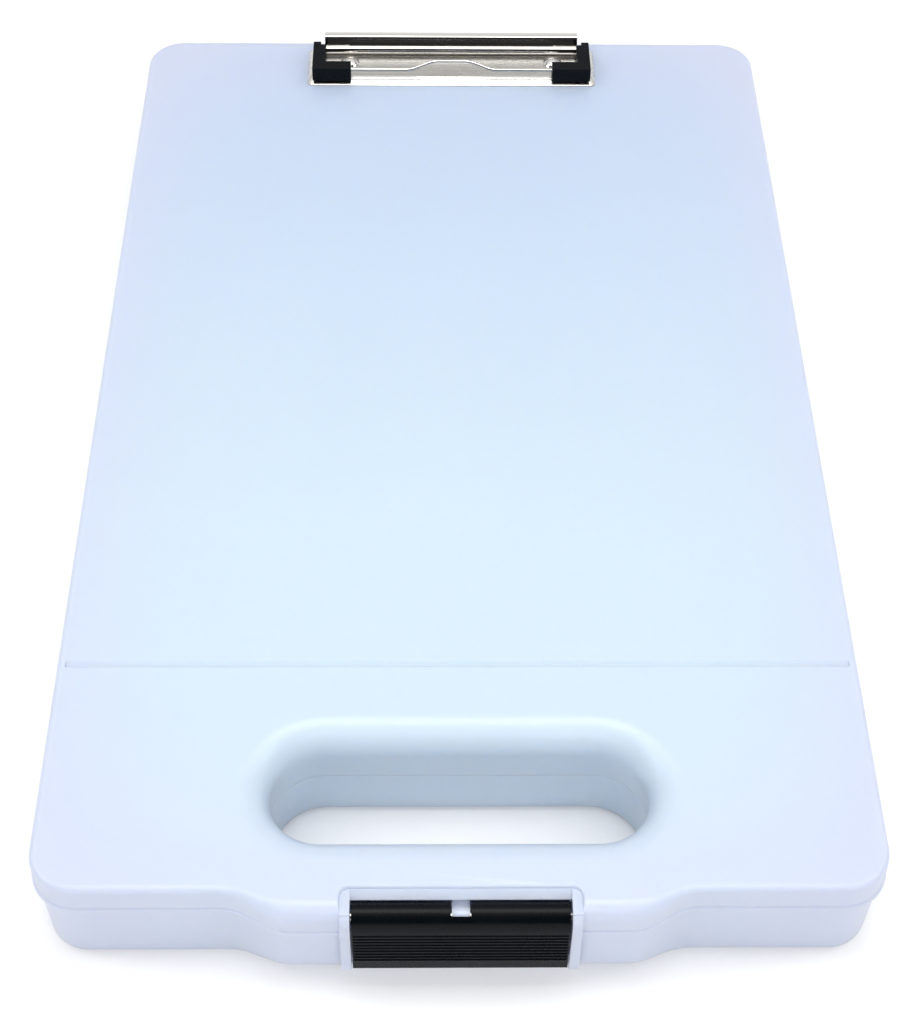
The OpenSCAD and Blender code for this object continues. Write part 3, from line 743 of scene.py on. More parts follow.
@dataclass
class Tray:
    """The lower half: floor, walls, inside walls, sleeve, pocket and hinge knuckles."""

    form: CaseForm
    seat: LatchSeat
    hinge: HingeForm
    inset: float = 1.4
    draft: float = 0.8
    bottom_r: float = 2.8
    bottom_bump_r: float = 9.0
    tongue_h: float = 2.8
    tongue_t: float = 1.2
    rim_r: float = 0.5
    inner_r: float = 1.0
    slot_r: float = 3.0
    wall_t: float = 1.8
    wall_x: float = 65.0
    cross_y: float = 76.5
    pen_gap: Pair = (12.0, 43.0)
    lid_gap: float = 1.0
    pocket_drop: float = 2.3
    cheek_out: float = 0.77
    cheek_r: float = 1.6
    web_low_z: float = 15.0

    def case_rings(self) -> list[Ring]:
        """Rings from the floor inside, over the rim, to the underside."""
        form = self.form
        top = form.seam_z - form.gap
        tongue = form.lid_wall + form.gap + 0.1
        inner = tongue + self.tongue_t
        low = self.inset + self.draft
        inner_bump = self.bottom_bump_r - form.tray_wall
        foot, floor = inner + self.draft, form.tray_wall
        return [
            *form.edge_rings(foot, self.inner_r + 0.4, inner_bump + 0.4, floor, 1, [90]),
            *form.edge_rings(foot, self.inner_r, inner_bump, floor, 1, range(90, -1, -15)),
            form.ring(inner, top + self.tongue_h - 0.2),
            form.ring(inner + 0.15, top + self.tongue_h),
            form.ring(tongue + 0.25, top + self.tongue_h),
            form.ring(tongue, top + self.tongue_h - 0.25),
            form.ring(tongue, top + 0.02),
            form.ring(tongue - 0.02, top),
            form.ring(self.inset + self.rim_r + 0.05, top),
            *form.edge_rings(self.inset, self.rim_r, self.rim_r, top, -1, (90, 60, 30, 0)),
            form.ring(self.inset + 0.02, top - self.rim_r - 0.3),
            *form.edge_rings(low, self.bottom_r, self.bottom_bump_r, 0.0, 1, range(0, 91, 10)),
            *form.edge_rings(low, self.bottom_r + 0.5, self.bottom_bump_r + 0.5, 0.0, 1, [90]),
        ]

    def slot_rings(self) -> list[Ring]:
        """Rings from the underside up the sleeve and down again to the floor."""
        form = self.form
        top = form.slot_seam_z - form.gap / 2
        wall = form.tray_wall
        return [
            form.slot_ring(self.slot_r + 0.5, 0.0),
            *form.slot_edge_rings(0, self.slot_r, 0.0, 1, range(90, -1, -15)),
            form.slot_ring(0, self.slot_r + 0.4),
            form.slot_ring(0, top - 0.6),
            form.slot_ring(0.12, top - 0.15),
            form.slot_ring(0.35, top),
            form.slot_ring(wall - 0.3, top),
            form.slot_ring(wall, top - 0.3),
            form.slot_ring(wall, wall + self.inner_r),
            *form.slot_edge_rings(wall, self.inner_r, wall, 1, (30, 60, 90)),
            form.slot_ring(wall + self.inner_r + 0.4, wall),
        ]

    def inside_walls(self) -> list[Piece]:
        """Walls that part the tray into its compartments."""
        form = self.form
        top = form.height - form.lid_wall - self.lid_gap
        low = form.tray_wall - 0.4
        cross = form.front_y + self.cross_y
        half = self.wall_t / 2
        inner = form.lid_wall + form.gap + self.tongue_t + 0.2 + self.draft / 2
        end_x = form.width / 2 - inner
        front = form.front_y + inner
        walls = [
            box("wall", (-end_x, cross - half, low), (self.pen_gap[0], cross + half, top)),
            box("wall", (self.pen_gap[1], cross - half, low), (end_x, cross + half, top)),
        ]
        for side in (-1, 1):
            x = side * self.wall_x
            walls.append(box("wall", (x - half, front, low), (x + half, cross + half * 0.9, top)))
        for x in self.pen_gap:
            post = lathe("wall", [(half + 0.4, low), (half + 0.4, top)], (x, cross), 24)
            walls.append(post)
        return walls

    def housing(self) -> list[Piece]:
        """Walls round the latch's pocket."""
        form, seat = self.form, self.seat
        low, top = seat.foot_z - self.pocket_drop, form.seam_z - form.gap
        front, back, r = form.bump_y - self.cheek_out, seat.pocket_y, self.cheek_r
        cheek = [
            (back + 1, low), (back + 1, top), (front, top),
            *arc((front + r, low + r), r, 180, 270, 6),
        ]
        wall = box("wall", (-seat.frame_x, back, low), (seat.frame_x, back + form.tray_wall, top))
        return [wall, *pair("wall", cheek, seat.room_x, seat.frame_x)]

    def knuckles(self) -> list[Piece]:
        """Two knuckles at each hinge, on their webs."""
        form, hinge = self.form, self.hinge
        half = hinge.knuckle_l / 2
        wall_y = form.back_y - self.inset - 1
        profile = [
            (wall_y, form.seam_z - form.gap),
            (wall_y, self.web_low_z),
            (hinge.y, hinge.z - hinge.knuckle_r + 0.2),
            *arc((hinge.y, hinge.z), hinge.knuckle_r, -80, 120, 24),
        ]
        tools = []
        for side in (-1, 1):
            for end in (-1, 1):
                x = side * hinge.x + end * (hinge.knuckle_l + hinge.gap)
                tools.append(prism("knuckle", profile, x - half, x + half))
        return tools

    def build(self) -> Piece:
        """The tray as one piece."""
        form, seat = self.form, self.seat
        tray = form.shell("tray_frosted", self.case_rings(), self.slot_rings())
        joined(tray, Join.ADD, [*self.inside_walls(), *self.housing(), *self.knuckles()])
        top = form.seam_z - form.gap
        pocket = box(
            "cut",
            (-seat.room_x, seat.face_y - 1, seat.foot_z - 1.5),
            (seat.room_x, seat.pocket_y, form.height),
        )
        tongue = box(
            "cut",
            (-seat.frame_x - 1, form.bump_y, top),
            (seat.frame_x + 1, seat.y + seat.recess_back + 2 * seat.back_wall + 1, form.height),
        )
        joined(tray, Join.CUT, [pocket, tongue])
        z, back, tip = seat.catch_z, seat.pocket_y, seat.pocket_y - seat.catch_h
        catch = [
            (back + 1, z), (back, z), (tip, z + 0.3),
            (tip, z + 0.9), (back, z + 2.2), (back + 1, z + 2.2),
        ]
        joined(tray, Join.ADD, [prism("catch", catch, -seat.width / 4, seat.width / 4)])
        joined(tray, Join.CUT, self.hinge.bores())
        return smoothed(tray)


@dataclass
class Lid:
    """The upper half: writing board, skirt, sleeve, latch frame and hinge knuckles."""

    form: CaseForm
    seat: LatchSeat
    hinge: HingeForm
    top_r: float = 1.8
    top_bump_r: float = 4.5
    slot_r: float = 9.0
    skirt_r: float = 0.4
    band_h: float = 1.5
    band_out: float = 0.45
    groove_y: float = 76.5
    groove_w: float = 2.5
    groove_d: float = 0.8
    groove_end: float = 3.0
    rivet_place: Pair = (40.0, 178.825)
    rivet_hole_r: float = 2.05
    boss_r: float = 5.5
    boss_top: float = 1.2
    boss_h: float = 2.2

    def case_rings(self) -> list[Ring]:
        """Rings from the ceiling inside, round the skirt, to the board."""
        form = self.form
        wall, seam, out = form.lid_wall, form.seam_z, self.band_out
        under, under_bump = form.height - wall, self.top_bump_r - wall
        band = seam + self.band_h
        top_r, bump_r = self.top_r, self.top_bump_r
        return [
            *form.edge_rings(wall, 1.0, under_bump + 0.4, under, -1, [90]),
            *form.edge_rings(wall, 0.6, under_bump, under, -1, range(90, -1, -30)),
            form.ring(wall, seam + 0.2),
            form.ring(wall - 0.15, seam),
            form.ring(self.skirt_r + 0.1, seam),
            *form.edge_rings(0, self.skirt_r, self.skirt_r, seam, 1, (90, 45, 0)),
            form.ring(0, band - 0.25),
            form.ring(0.08, band),
            form.ring(out, band + 0.45),
            form.ring(out, band + 0.9),
            *form.edge_rings(out, top_r, bump_r, form.height, -1, range(0, 91, 10)),
            *form.edge_rings(out, top_r + 0.4, bump_r + 0.4, form.height, -1, [90]),
        ]

    def slot_rings(self) -> list[Ring]:
        """Rings from the board down the sleeve and up again to the ceiling."""
        form = self.form
        wall = form.lid_wall
        bottom = form.slot_seam_z + form.gap / 2
        under = form.height - wall
        return [
            form.slot_ring(self.slot_r + 0.5, form.height),
            *form.slot_edge_rings(0, self.slot_r, form.height, -1, range(90, -1, -6)),
            form.slot_ring(0, form.height - self.slot_r - 0.4),
            form.slot_ring(0, bottom + 0.6),
            form.slot_ring(0.12, bottom + 0.15),
            form.slot_ring(0.35, bottom),
            form.slot_ring(wall - 0.3, bottom),
            form.slot_ring(wall, bottom + 0.3),
            *form.slot_edge_rings(wall, self.slot_r - wall, under, -1, range(0, 91, 10)),
            form.slot_ring(self.slot_r + 0.4, under),
        ]

    def frame_parts(self) -> list[Piece]:
        """The solid behind the latch's barrel."""
        form, seat = self.form, self.seat
        r = seat.room_r + seat.back_wall
        low, high = form.seam_z, form.height - form.lid_wall / 2
        front = form.bump_y + form.lid_wall / 2
        back = seat.y + seat.recess_back + seat.back_wall
        dome = [(y, z) for y, z in arc((seat.y, seat.z), r, -60, 30, 20) if z > low]
        profile = [
            (front, low), (dome[0][0], low), *dome, (back, dome[-1][1] + 0.4),
            (back, high), (front, high),
        ]
        return [prism("frame", profile, -seat.frame_x, seat.frame_x)]

    def cheeks(self) -> list[Piece]:
        """The rounded cheeks that hold the latch's pin."""
        form, seat = self.form, self.seat
        r, back = seat.cheek_r - seat.recess, seat.y + seat.barrel_r
        profile = [
            *arc((seat.face_y + r, form.height - seat.recess - r), r, 90, 180, 16),
            (seat.face_y, form.seam_z + 0.4),
            (seat.face_y + 0.4, form.seam_z),
            (back, form.seam_z),
            (back, form.height - form.lid_wall / 2 - 0.2),
        ]
        return pair("cheek", profile, seat.room_x, seat.frame_x)

    def room(self) -> Piece:
        """The tool that cuts the latch's room."""
        form, seat = self.form, self.seat
        front, back = seat.face_y - 2, seat.y + seat.recess_back - 0.2
        profile = [
            (front, form.seam_z - 2),
            (seat.y, form.seam_z - 2),
            *arc((seat.y, seat.z), seat.room_r, -90, seat.shelf_angle, 22),
            (back, form.height - seat.recess - 0.05),
            (back, form.height + 2),
            (front, form.height + 2),
        ]
        return prism("cut", profile, -seat.room_x, seat.room_x)

    def recess(self) -> Piece:
        """The tool that sinks the board round the latch, with a rounded edge."""
        form, seat = self.form, self.seat
        edge = 1.0
        low = form.height - seat.recess
        steps = [(0.0, low - 0.05)]
        for turn in map(math.radians, range(15, 91, 15)):
            steps.append((edge * (1 - math.cos(turn)), form.height - edge * (1 - math.sin(turn))))
        steps[-1] = (edge, form.height + 0.02)
        steps.append((edge, form.height + 1.0))
        rings = []
        for grow, z in steps:
            x, back = seat.frame_x + grow, seat.y + seat.recess_back + grow
            r = seat.recess_r + grow
            plan = [
                (-x, seat.face_y - 4),
                (x, seat.face_y - 4),
                *arc((x - r, back - r), r, 0, 90, 8),
                *arc((r - x, back - r), r, 90, 180, 8),
            ]
            rings.append([(px, py, z) for px, py in plan])
        return solid("cut", rings)

    def arm(self) -> list[Piece]:
        """The middle knuckle on its arm."""
        seat = self.seat
        half = seat.knuckle_w / 2
        low, high = seat.z - seat.knuckle_r / 2, seat.z + seat.knuckle_r / 2
        profile = [
            *arc((seat.y, seat.z), seat.knuckle_r, 30, 330, 30),
            (seat.y + seat.room_r + 0.8, low),
            (seat.y + seat.room_r + 0.8, high),
        ]
        return [prism("arm", profile, -half, half)]

    def groove(self) -> Piece:
        """The tool that cuts the groove across the board."""
        form = self.form
        y = form.front_y + self.groove_y
        x = form.width / 2 - self.groove_end
        w, low = self.groove_w, form.height - self.groove_d
        profile = [
            (y - 0.5, form.height + 1),
            (y, form.height),
            (y + w * 0.35, low),
            (y + w * 0.65, low),
            (y + w, form.height),
            (y + w + 0.5, form.height + 1),
        ]
        return prism("cut", profile, -x, x)

    def knuckles(self) -> list[Piece]:
        """The middle knuckle of each hinge."""
        form, hinge = self.form, self.hinge
        half = hinge.knuckle_l / 2
        wall_y = form.back_y - form.lid_wall / 2
        profile = [
            (wall_y, form.height - self.top_r - 1),
            (wall_y, hinge.z),
            *arc((hinge.y, hinge.z), hinge.knuckle_r, 180, 440, 32),
        ]
        return pair("knuckle", profile, hinge.x - half, hinge.x + half)

    def at_rivets(self, name: str, r: float, low: float, high: float, steps: int) -> list[Piece]:
        """An upright round bar at each rivet."""
        x, y = self.rivet_place
        return [lathe(name, [(r, low), (r, high)], (side * x, y), steps) for side in (-1, 1)]

    def build(self) -> Piece:
        """The lid as one piece."""
        form, seat = self.form, self.seat
        lid = form.shell("lid_frosted", self.case_rings(), self.slot_rings())
        joined(lid, Join.ADD, self.frame_parts())
        joined(lid, Join.CUT, [self.recess(), self.room(), self.groove()])
        top = form.height + self.boss_top
        bosses = self.at_rivets("boss", self.boss_r, top - self.boss_h, top, 32)
        joined(lid, Join.ADD, [*self.cheeks(), *self.arm(), *self.knuckles(), *bosses])
        pin = rod("cut", (seat.y, seat.z), seat.pin_r, -seat.frame_x - 1, seat.frame_x + 1)
        holes = self.at_rivets("cut", self.rivet_hole_r, form.height - 7, form.height + 5, 24)
        joined(lid, Join.CUT, [pin, *self.hinge.bores(), *holes])
        return smoothed(lid)


@dataclass
class Latch:
    """The black latch: a barrel, a plate with finger ribs and a catch lip."""

    seat: LatchSeat
    finish: Material
    rib_start: float = 15.0
    rib_pitch: float = 1.6
    rib_count: int = 9
    rib_h: float = 0.45
    gap: float = 0.3
    notch_front: float = math.radians(122)
    notch_back: float = math.radians(40)

    def profile(self) -> list[Pair]:
        """The latch's section."""
        seat = self.seat
        plate_y = seat.face_y + seat.plate
        low = seat.foot_z
        barrel = arc((seat.y, seat.z), seat.barrel_r, 160, -125, 44)
        return [
            (seat.face_y, seat.z - 1.6),
            *barrel,
            (plate_y, seat.z - seat.barrel_r - 1.4),
            *arc((plate_y - 0.6, low + 0.6), 0.6, 0, -90, 4),
            *arc((seat.face_y + 0.6, low + 0.6), 0.6, 270, 180, 4),
        ]

    def notch(self) -> list[Piece]:
        """Tools that make room for the lid's knuckle and its arm."""
        seat = self.seat
        half = seat.knuckle_w / 2 + self.gap
        reach = 2 * seat.barrel_r
        wedge = [(seat.y, seat.z)]
        for along, up in (
            (math.cos(self.notch_front), math.sin(self.notch_front)),
            (math.cos(self.notch_front), 1.0),
            (1.0, 1.0),
            (1.0, -math.sin(self.notch_back)),
            (math.cos(self.notch_back), -math.sin(self.notch_back)),
        ):
            wedge.append((seat.y + reach * along, seat.z + reach * up))
        ring = rod("cut", (seat.y, seat.z), seat.knuckle_r + self.gap, -half, half, 40)
        return [ring, prism("cut", wedge, -half, half)]

    def ribs(self) -> Piece:
        """The finger ribs, repeated up the plate by Geometry Nodes."""
        seat = self.seat
        step = (0.0, 0.0, self.rib_pitch * MM)
        rows = GeometryRows("rib_rows", self.finish, self.rib(), self.rib_count, step)
        return rows.build("latch_ribs", (0.0, seat.face_y * MM, self.rib_start * MM))

    def rib(self) -> Piece:
        """One rib with rounded ends."""
        half, section = self.seat.width / 2 - 0.25, arc((0, 0), self.rib_h, -80, 80, 6)
        ends = ((-half, 0.3), (-half + 0.2, 1.0), (half - 0.2, 1.0), (half, 0.3))
        return solid(
            "rib", [[(x, 0.1 - y * share, z * share) for y, z in section] for x, share in ends]
        )

    def build(self) -> tuple[Piece, Piece]:
        """The latch and its ribs."""
        seat = self.seat
        half = seat.width / 2
        latch = prism("latch_body", self.profile(), -half, half)
        plate_y = seat.face_y + seat.plate
        tip, z = seat.pocket_y - seat.catch_h - seat.catch_gap, seat.catch_z
        lip = [
            (plate_y - 0.4, z - 0.2), (plate_y, z - 0.2), (tip, z - 0.5),
            (tip, z - 1.1), (plate_y, z - 2.2), (plate_y - 0.4, z - 2.2),
        ]
        joined(latch, Join.ADD, [prism("lip", lip, 1 - half / 2, half / 2 - 1)])
        joined(latch, Join.CUT, self.notch())
        pin_bore = rod("cut", (seat.y, seat.z), seat.pin_r, -half - 1, half + 1)
        joined(latch, Join.CUT, [pin_bore])
        rounded_edges(latch, 0.28)
        return smoothed(latch), smoothed(self.ribs())


@dataclass(frozen=True)
class ClipForm:
    """Sizes that the clip's pieces share."""

    board_z: float = 37.0
    near_y: float = 166.325
    depth: float = 23.5
    half_w: float = 56.5
    plate_z: float = 39.0
    sheet: float = 0.8
    pivot: Pair = (184.825, 40.8)
    lever_x: float = 50.0
    roll_r: float = 1.5
    wire_r: float = 0.65
    wire_bend_r: float = 1.5
    leg_x: float = 52.9
    jaw: Pair = (169.525, 42.3)
    ear_r: float = 2.1
    gap: float = 0.3


@dataclass
class BasePlate:
    """The pressed plate under the clip, with a stepped near edge and two ears.

    Each level has a height and how far it lies in from the near edge, the sides and the
    far edge. The hollow below follows the levels that inner_rows names, from the top down.
    """

    form: ClipForm
    levels: tuple[float, ...] = (
        37.0, 37.3, 38.0, 38.24, 38.34, 38.4, 38.5, 38.66, 38.88, 39.0, 39.0
    )
    near: tuple[float, ...] = (0.0, 0.08, 1.5, 1.85, 2.1, 2.5, 2.75, 2.95, 3.2, 3.6, 4.3)
    side: tuple[float, ...] = (0.0, 0.08, 0.85, 1.02, 1.12, 1.2, 1.32, 1.5, 1.72, 2.1, 2.9)
    far: tuple[float, ...] = (0.0, 0.05, 0.45, 0.55, 0.6, 0.64, 0.7, 0.78, 0.88, 1.1, 1.7)
    inner_rows: tuple[int, ...] = (-2, 6, 4, 0)
    corner_r: float = 2.0

    def ring(self, near: float, side: float, far: float, z: float) -> Ring:
        """One level of the plate: a rectangle with round corners."""
        form, r = self.form, self.corner_r
        x, y0 = form.half_w - side, form.near_y + near
        y1 = form.near_y + form.depth - far
        plan: list[Pair] = []
        for cx, cy, start in (
            (x - r, y0 + r, -90), (x - r, y1 - r, 0), (r - x, y1 - r, 90), (r - x, y0 + r, 180)
        ):
            plan += arc((cx, cy), r, start, start + 90, 6)
        return [(px, py, z) for px, py in plan]

    def ears(self) -> list[Piece]:
        """The two ears that hold the wire."""
        form = self.form
        y, z = form.pivot
        r, low = form.ear_r, form.plate_z - form.sheet / 2
        profile = [(y - r, low), (y + r, low), *arc((y, z), r, 0, 180, 20)]
        inner = form.lever_x + form.gap
        return pair("ear", profile, inner, inner + form.sheet)

    def build(self) -> Piece:
        """The plate, hollow below."""
        form, t = self.form, self.form.sheet
        rows = list(zip(self.near, self.side, self.far, self.levels))
        inner = [rows[i] for i in self.inner_rows]
        under = [(n + t, s + t, f + t, max(z - t, form.board_z)) for n, s, f, z in inner]
        plate = solid("clip_plate", [self.ring(*row) for row in (*under, *rows)])
        joined(plate, Join.ADD, self.ears())
        bore = rod("cut", form.pivot, form.wire_r + 0.05, -form.half_w, form.half_w, 20)
        joined(plate, Join.CUT, [bore])
        return smoothed(plate, SHEET_ANGLE)


@dataclass
class Lever:
    """The lever: a roll on the wire, a web with a pressed panel and a bent back top."""

    form: ClipForm
    web_h: float = 4.26
    web_steps: int = 26
    bow: float = 0.12
    bend_r: float = 0.9
    reach: float = 3.0
    lip_rise: float = 1.3
    lean: float = 24.0
    panel_h: float = 0.27
    panel_blend: float = 0.45
    panel_end: float = 9.0
    panel_half: float = 1.15
    panel_mid: float = 1.95

    def line(self) -> list[tuple[float, float, float]]:
        """The sheet's centre line from the roll up: Y, Z and the height up the web."""
        foot, steps = self.form.roll_r - self.form.sheet / 2, self.web_steps
        points = []
        for i in range(steps + 1):
            up = self.web_h * i / steps
            hollow = self.bow * math.sin(math.pi * i / steps)
            points.append((foot + hollow, up, up))
        for y, z in arc((foot + self.bend_r, self.web_h), self.bend_r, 170, 100, 7):
            points.append((y, z, PAST_WEB))
        last = points[-1]
        end = (foot + self.reach, self.web_h + self.lip_rise)
        for i in range(1, 5):
            share = i / 4
            y, z = (a + (b - a) * share for a, b in zip(last, end))
            points.append((y, z, PAST_WEB))
        return points

    def press(self, x: float, up: float) -> float:
        """How far the panel stands forward at a place on the web."""
        end = self.form.lever_x - self.panel_end - self.panel_half
        away = math.hypot(max(abs(x) - end, 0.0), up - self.panel_mid) - self.panel_half
        blend = self.panel_blend
        share = min(max((blend - away) / (2 * blend), 0.0), 1.0)
        return self.panel_h * share * share * (3 - 2 * share)

    def columns(self) -> list[float]:
        """Places along X, close together at the ends and where the panel is round."""
        end = self.form.lever_x
        turn = end - self.panel_end
        half = [end, end - 0.12, end - 0.4]
        half += [turn + 0.4 - 0.2 * i for i in range(12)]
        half += [turn - 4.0, turn - 12.0, turn - 24.0]
        return [-x for x in half] + [x for x in reversed(half)]

    def sheet(self) -> Piece:
        """The web and the top as one bent sheet."""
        form, line = self.form, self.line()
        half_t, lean = form.sheet / 2, math.radians(self.lean)
        end = form.lever_x
        rings = []
        for x in self.columns():
            thin = half_t * (0.72 if end - abs(x) < 0.05 else 1.0)
            front, back = [], []
            for i, (y, z, up) in enumerate(line):
                before, after = line[max(i - 1, 0)], line[min(i + 1, len(line) - 1)]
                along = Vector((after[0] - before[0], after[1] - before[1])).normalized()
                out = Vector((-along.y, along.x))
                push = self.press(x, up)
                for side, skin in ((1, front), (-1, back)):
                    py, pz = y + side * out.x * thin - push, z + side * out.y * thin
                    skin.append(
                        (
                            form.pivot[0] + py * math.cos(lean) + pz * math.sin(lean),
                            form.pivot[1] - py * math.sin(lean) + pz * math.cos(lean),
                        )
                    )
            rings.append([(x, py, pz) for py, pz in (*front, *reversed(back))])
        return solid("lever", rings)

    def build(self) -> Piece:
        """The lever as one piece."""
        form = self.form
        x = form.lever_x
        lever = self.sheet()
        lever.name = "clip_lever_sheet"
        roll = rod("roll", form.pivot, form.roll_r, -x, x, 56)
        joined(lever, Join.ADD, [roll])
        bore = rod("cut", form.pivot, form.wire_r + 0.05, -x - 1, x + 1)
        joined(lever, Join.CUT, [bore])
        return smoothed(lever, SHEET_ANGLE)


@dataclass
class WireJaw:
    """The sprung wire: a rod through the lever, a leg each side and the bent jaw."""

    form: ClipForm
    finish: Material
    bend: float = 4.0
    rise: float = 1.1
    bend_x: float = 18.0
    flat_x: float = 5.0
    sides: int = 20

    def half_route(self) -> Ring:
        """The right half of the route, from the rod to the jaw's middle."""
        form = self.form
        r, leg = form.wire_bend_r, form.leg_x
        (pivot_y, pivot_z), (jaw_y, jaw_z) = form.pivot, form.jaw
        slope = (jaw_z - pivot_z) / (pivot_y - jaw_y)
        turns = [
            *arc((leg - r, pivot_y - r), r, 90, 0, 8),
            *arc((leg - r, jaw_y + r), r, 0, -90, 8),
        ]
        route = [(x, y, pivot_z + (pivot_y - y) * slope) for x, y in turns]
        for i in range(25):
            t = i / 24
            share = (1 - math.cos(math.pi * t)) / 2
            x = self.bend_x + (self.flat_x - self.bend_x) * t
            route.append((x, jaw_y + self.bend * share, jaw_z + self.rise * share))
        return route

    def build(self) -> Piece:
        """The wire as one closed loop, swept by Geometry Nodes."""
        half = self.half_route()
        route = [*half, *[(-x, y, z) for x, y, z in reversed(half)]]
        sweep = Sweep("wire_sweep", self.finish, self.form.wire_r * MM, self.sides)
        wire = sweep.build("clip_wire_bright", route)
        return smoothed(wire, math.radians(60))


@dataclass
class Grip:
    """A soft black L over each corner of the wire, with small feet."""

    form: ClipForm
    side: int
    outer_x: float = 54.25
    length: float = 15.0
    width: float = 5.0
    low_z: float = 39.2
    high_z: float = 44.8
    near_y: float = 166.625
    rear_y: float = 182.425
    rear_x: float = 51.4
    edge: float = 0.8
    foot_w: float = 2.6
    foot_x: Pair = (40.05, 50.85)
    foot_y: Pair = (0.5, 2.2)
    foot_z: Pair = (38.62, 39.6)

    def plan(self) -> list[Pair]:
        """The L seen from above."""
        inner, arm = self.outer_x - self.length, self.outer_x - self.width
        return [
            (inner, self.near_y),
            (self.outer_x, self.near_y),
            (self.outer_x, self.rear_y + 0.6),
            (arm, self.rear_y),
            (arm, self.near_y + self.width),
            (inner, self.near_y + self.width),
        ]

    def build(self) -> Piece:
        """The grip as one piece."""
        form, flip = self.form, self.side
        levels = (self.low_z, self.high_z)
        rings = [[(flip * x, y, z) for x, y in self.plan()] for z in levels]
        grip = solid(f"clip_grip_{'left' if flip < 0 else 'right'}", rings)
        (y, z), r = form.pivot, form.pivot[1] - self.low_z
        rear = [
            (self.rear_y - 0.5, self.low_z + 0.02),
            *arc((y, z), r, -90, 60, 14),
            (y + r / 2, self.high_z - 0.9),
            (y - 0.4, self.high_z - 0.04),
            (self.rear_y - 0.5, self.high_z - 0.02),
        ]
        x0, x1 = sorted((flip * self.rear_x, flip * (self.outer_x - 0.02)))
        joined(grip, Join.ADD, [prism("rear", rear, x0, x1)])
        rounded_edges(grip, self.edge, 3)
        near, far = (self.near_y + depth for depth in self.foot_y)
        feet = []
        for x in self.foot_x:
            f0, f1 = sorted((flip * x, flip * (x + self.foot_w)))
            feet.append(box("foot", (f0, near, self.foot_z[0]), (f1, far, self.foot_z[1])))
        joined(grip, Join.ADD, feet)
        return smoothed(grip)


@dataclass
class Rivets:
    """The two domed rivets that hold the clip on the board."""

    form: ClipForm
    finish: Material
    x: float = 40.0
    y: float = 178.825
    head_r: float = 3.75
    head_h: float = 1.875
    shank_r: float = 2.0
    under_z: float = 34.2

    def profile(self) -> list[Pair]:
        """Radius and height from the foot to the top of the dome."""
        top, r, h = self.form.plate_z, self.head_r, self.head_h
        dome_r = (r * r + h * h) / (2 * h)
        half = math.degrees(math.asin(r / dome_r))
        dome = arc((0.0, top + h - dome_r), dome_r, 90 - half, 90, 14)
        foot = self.shank_r + 1
        return [
            (0.0, self.under_z - 1), (foot - 0.4, self.under_z - 1), (foot, self.under_z - 0.6),
            (foot, self.under_z), (self.shank_r, self.under_z), (self.shank_r, top + 0.01),
            (r - 0.08, top + 0.01), (r, top + 0.1), *dome[1:],
        ]

    def build(self) -> Piece:
        """Both rivets in a row, repeated by Geometry Nodes."""
        item = lathe("rivet", self.profile(), (0.0, 0.0), 40)
        rows = GeometryRows("rivet_row", self.finish, item, 2, (2 * self.x * MM, 0.0, 0.0))
        rivets = rows.build("clip_rivets", (-self.x * MM, self.y * MM, 0.0))
        return smoothed(rivets, math.radians(40))


@dataclass
class NodeTool:
    """A Geometry Nodes tree with named inputs, used once and turned into a plain mesh."""

    name: str
    finish: Material
    inputs: ClassVar[dict[str, str]] = {}

    def shape(self, nodes: bpy.types.Nodes, links: bpy.types.NodeLinks, ports: Any) -> Any:
        """Adds the nodes that make the shape.

        Args:
            nodes: The tree's nodes.
            links: The tree's links.
            ports: The tree's inputs, by name.

        Returns:
            The output socket with the shape.
        """
        raise NotImplementedError

    def values(self) -> dict[str, Any]:
        """Values of the tree's inputs, by name."""
        raise NotImplementedError

    def tree(self) -> bpy.types.NodeTree:
        """The whole tree: the shape made real, with its finish set."""
        tree = bpy.data.node_groups.new(self.name, "GeometryNodeTree")
        face = tree.interface
        face.new_socket("Geometry", in_out="OUTPUT", socket_type="NodeSocketGeometry")
        for label, kind in {**self.inputs, "Finish": "Material"}.items():
            face.new_socket(label, in_out="INPUT", socket_type=f"NodeSocket{kind}")
        nodes, links = tree.nodes, tree.links
        start, end = nodes.new("NodeGroupInput"), nodes.new("NodeGroupOutput")
        real = nodes.new("GeometryNodeRealizeInstances")
        paint = nodes.new("GeometryNodeSetMaterial")
        links.new(self.shape(nodes, links, start.outputs), real.inputs["Geometry"])
        links.new(real.outputs["Geometry"], paint.inputs["Geometry"])
        links.new(start.outputs["Finish"], paint.inputs["Material"])
        links.new(paint.outputs["Geometry"], end.inputs["Geometry"])
        return tree

    def run(self, holder: Piece) -> None:
        """Puts the tree on an object and turns the result into its plain mesh."""
        tree = self.tree()
        step = holder.modifiers.new(self.name, "NODES")
        step.node_group = tree
        keys = {s.name: s.identifier for s in tree.interface.items_tree if s.in_out == "INPUT"}
        for label, value in {**self.values(), "Finish": self.finish}.items():
            step[keys[label]] = value
        settle(holder)
        bpy.data.node_groups.remove(tree)


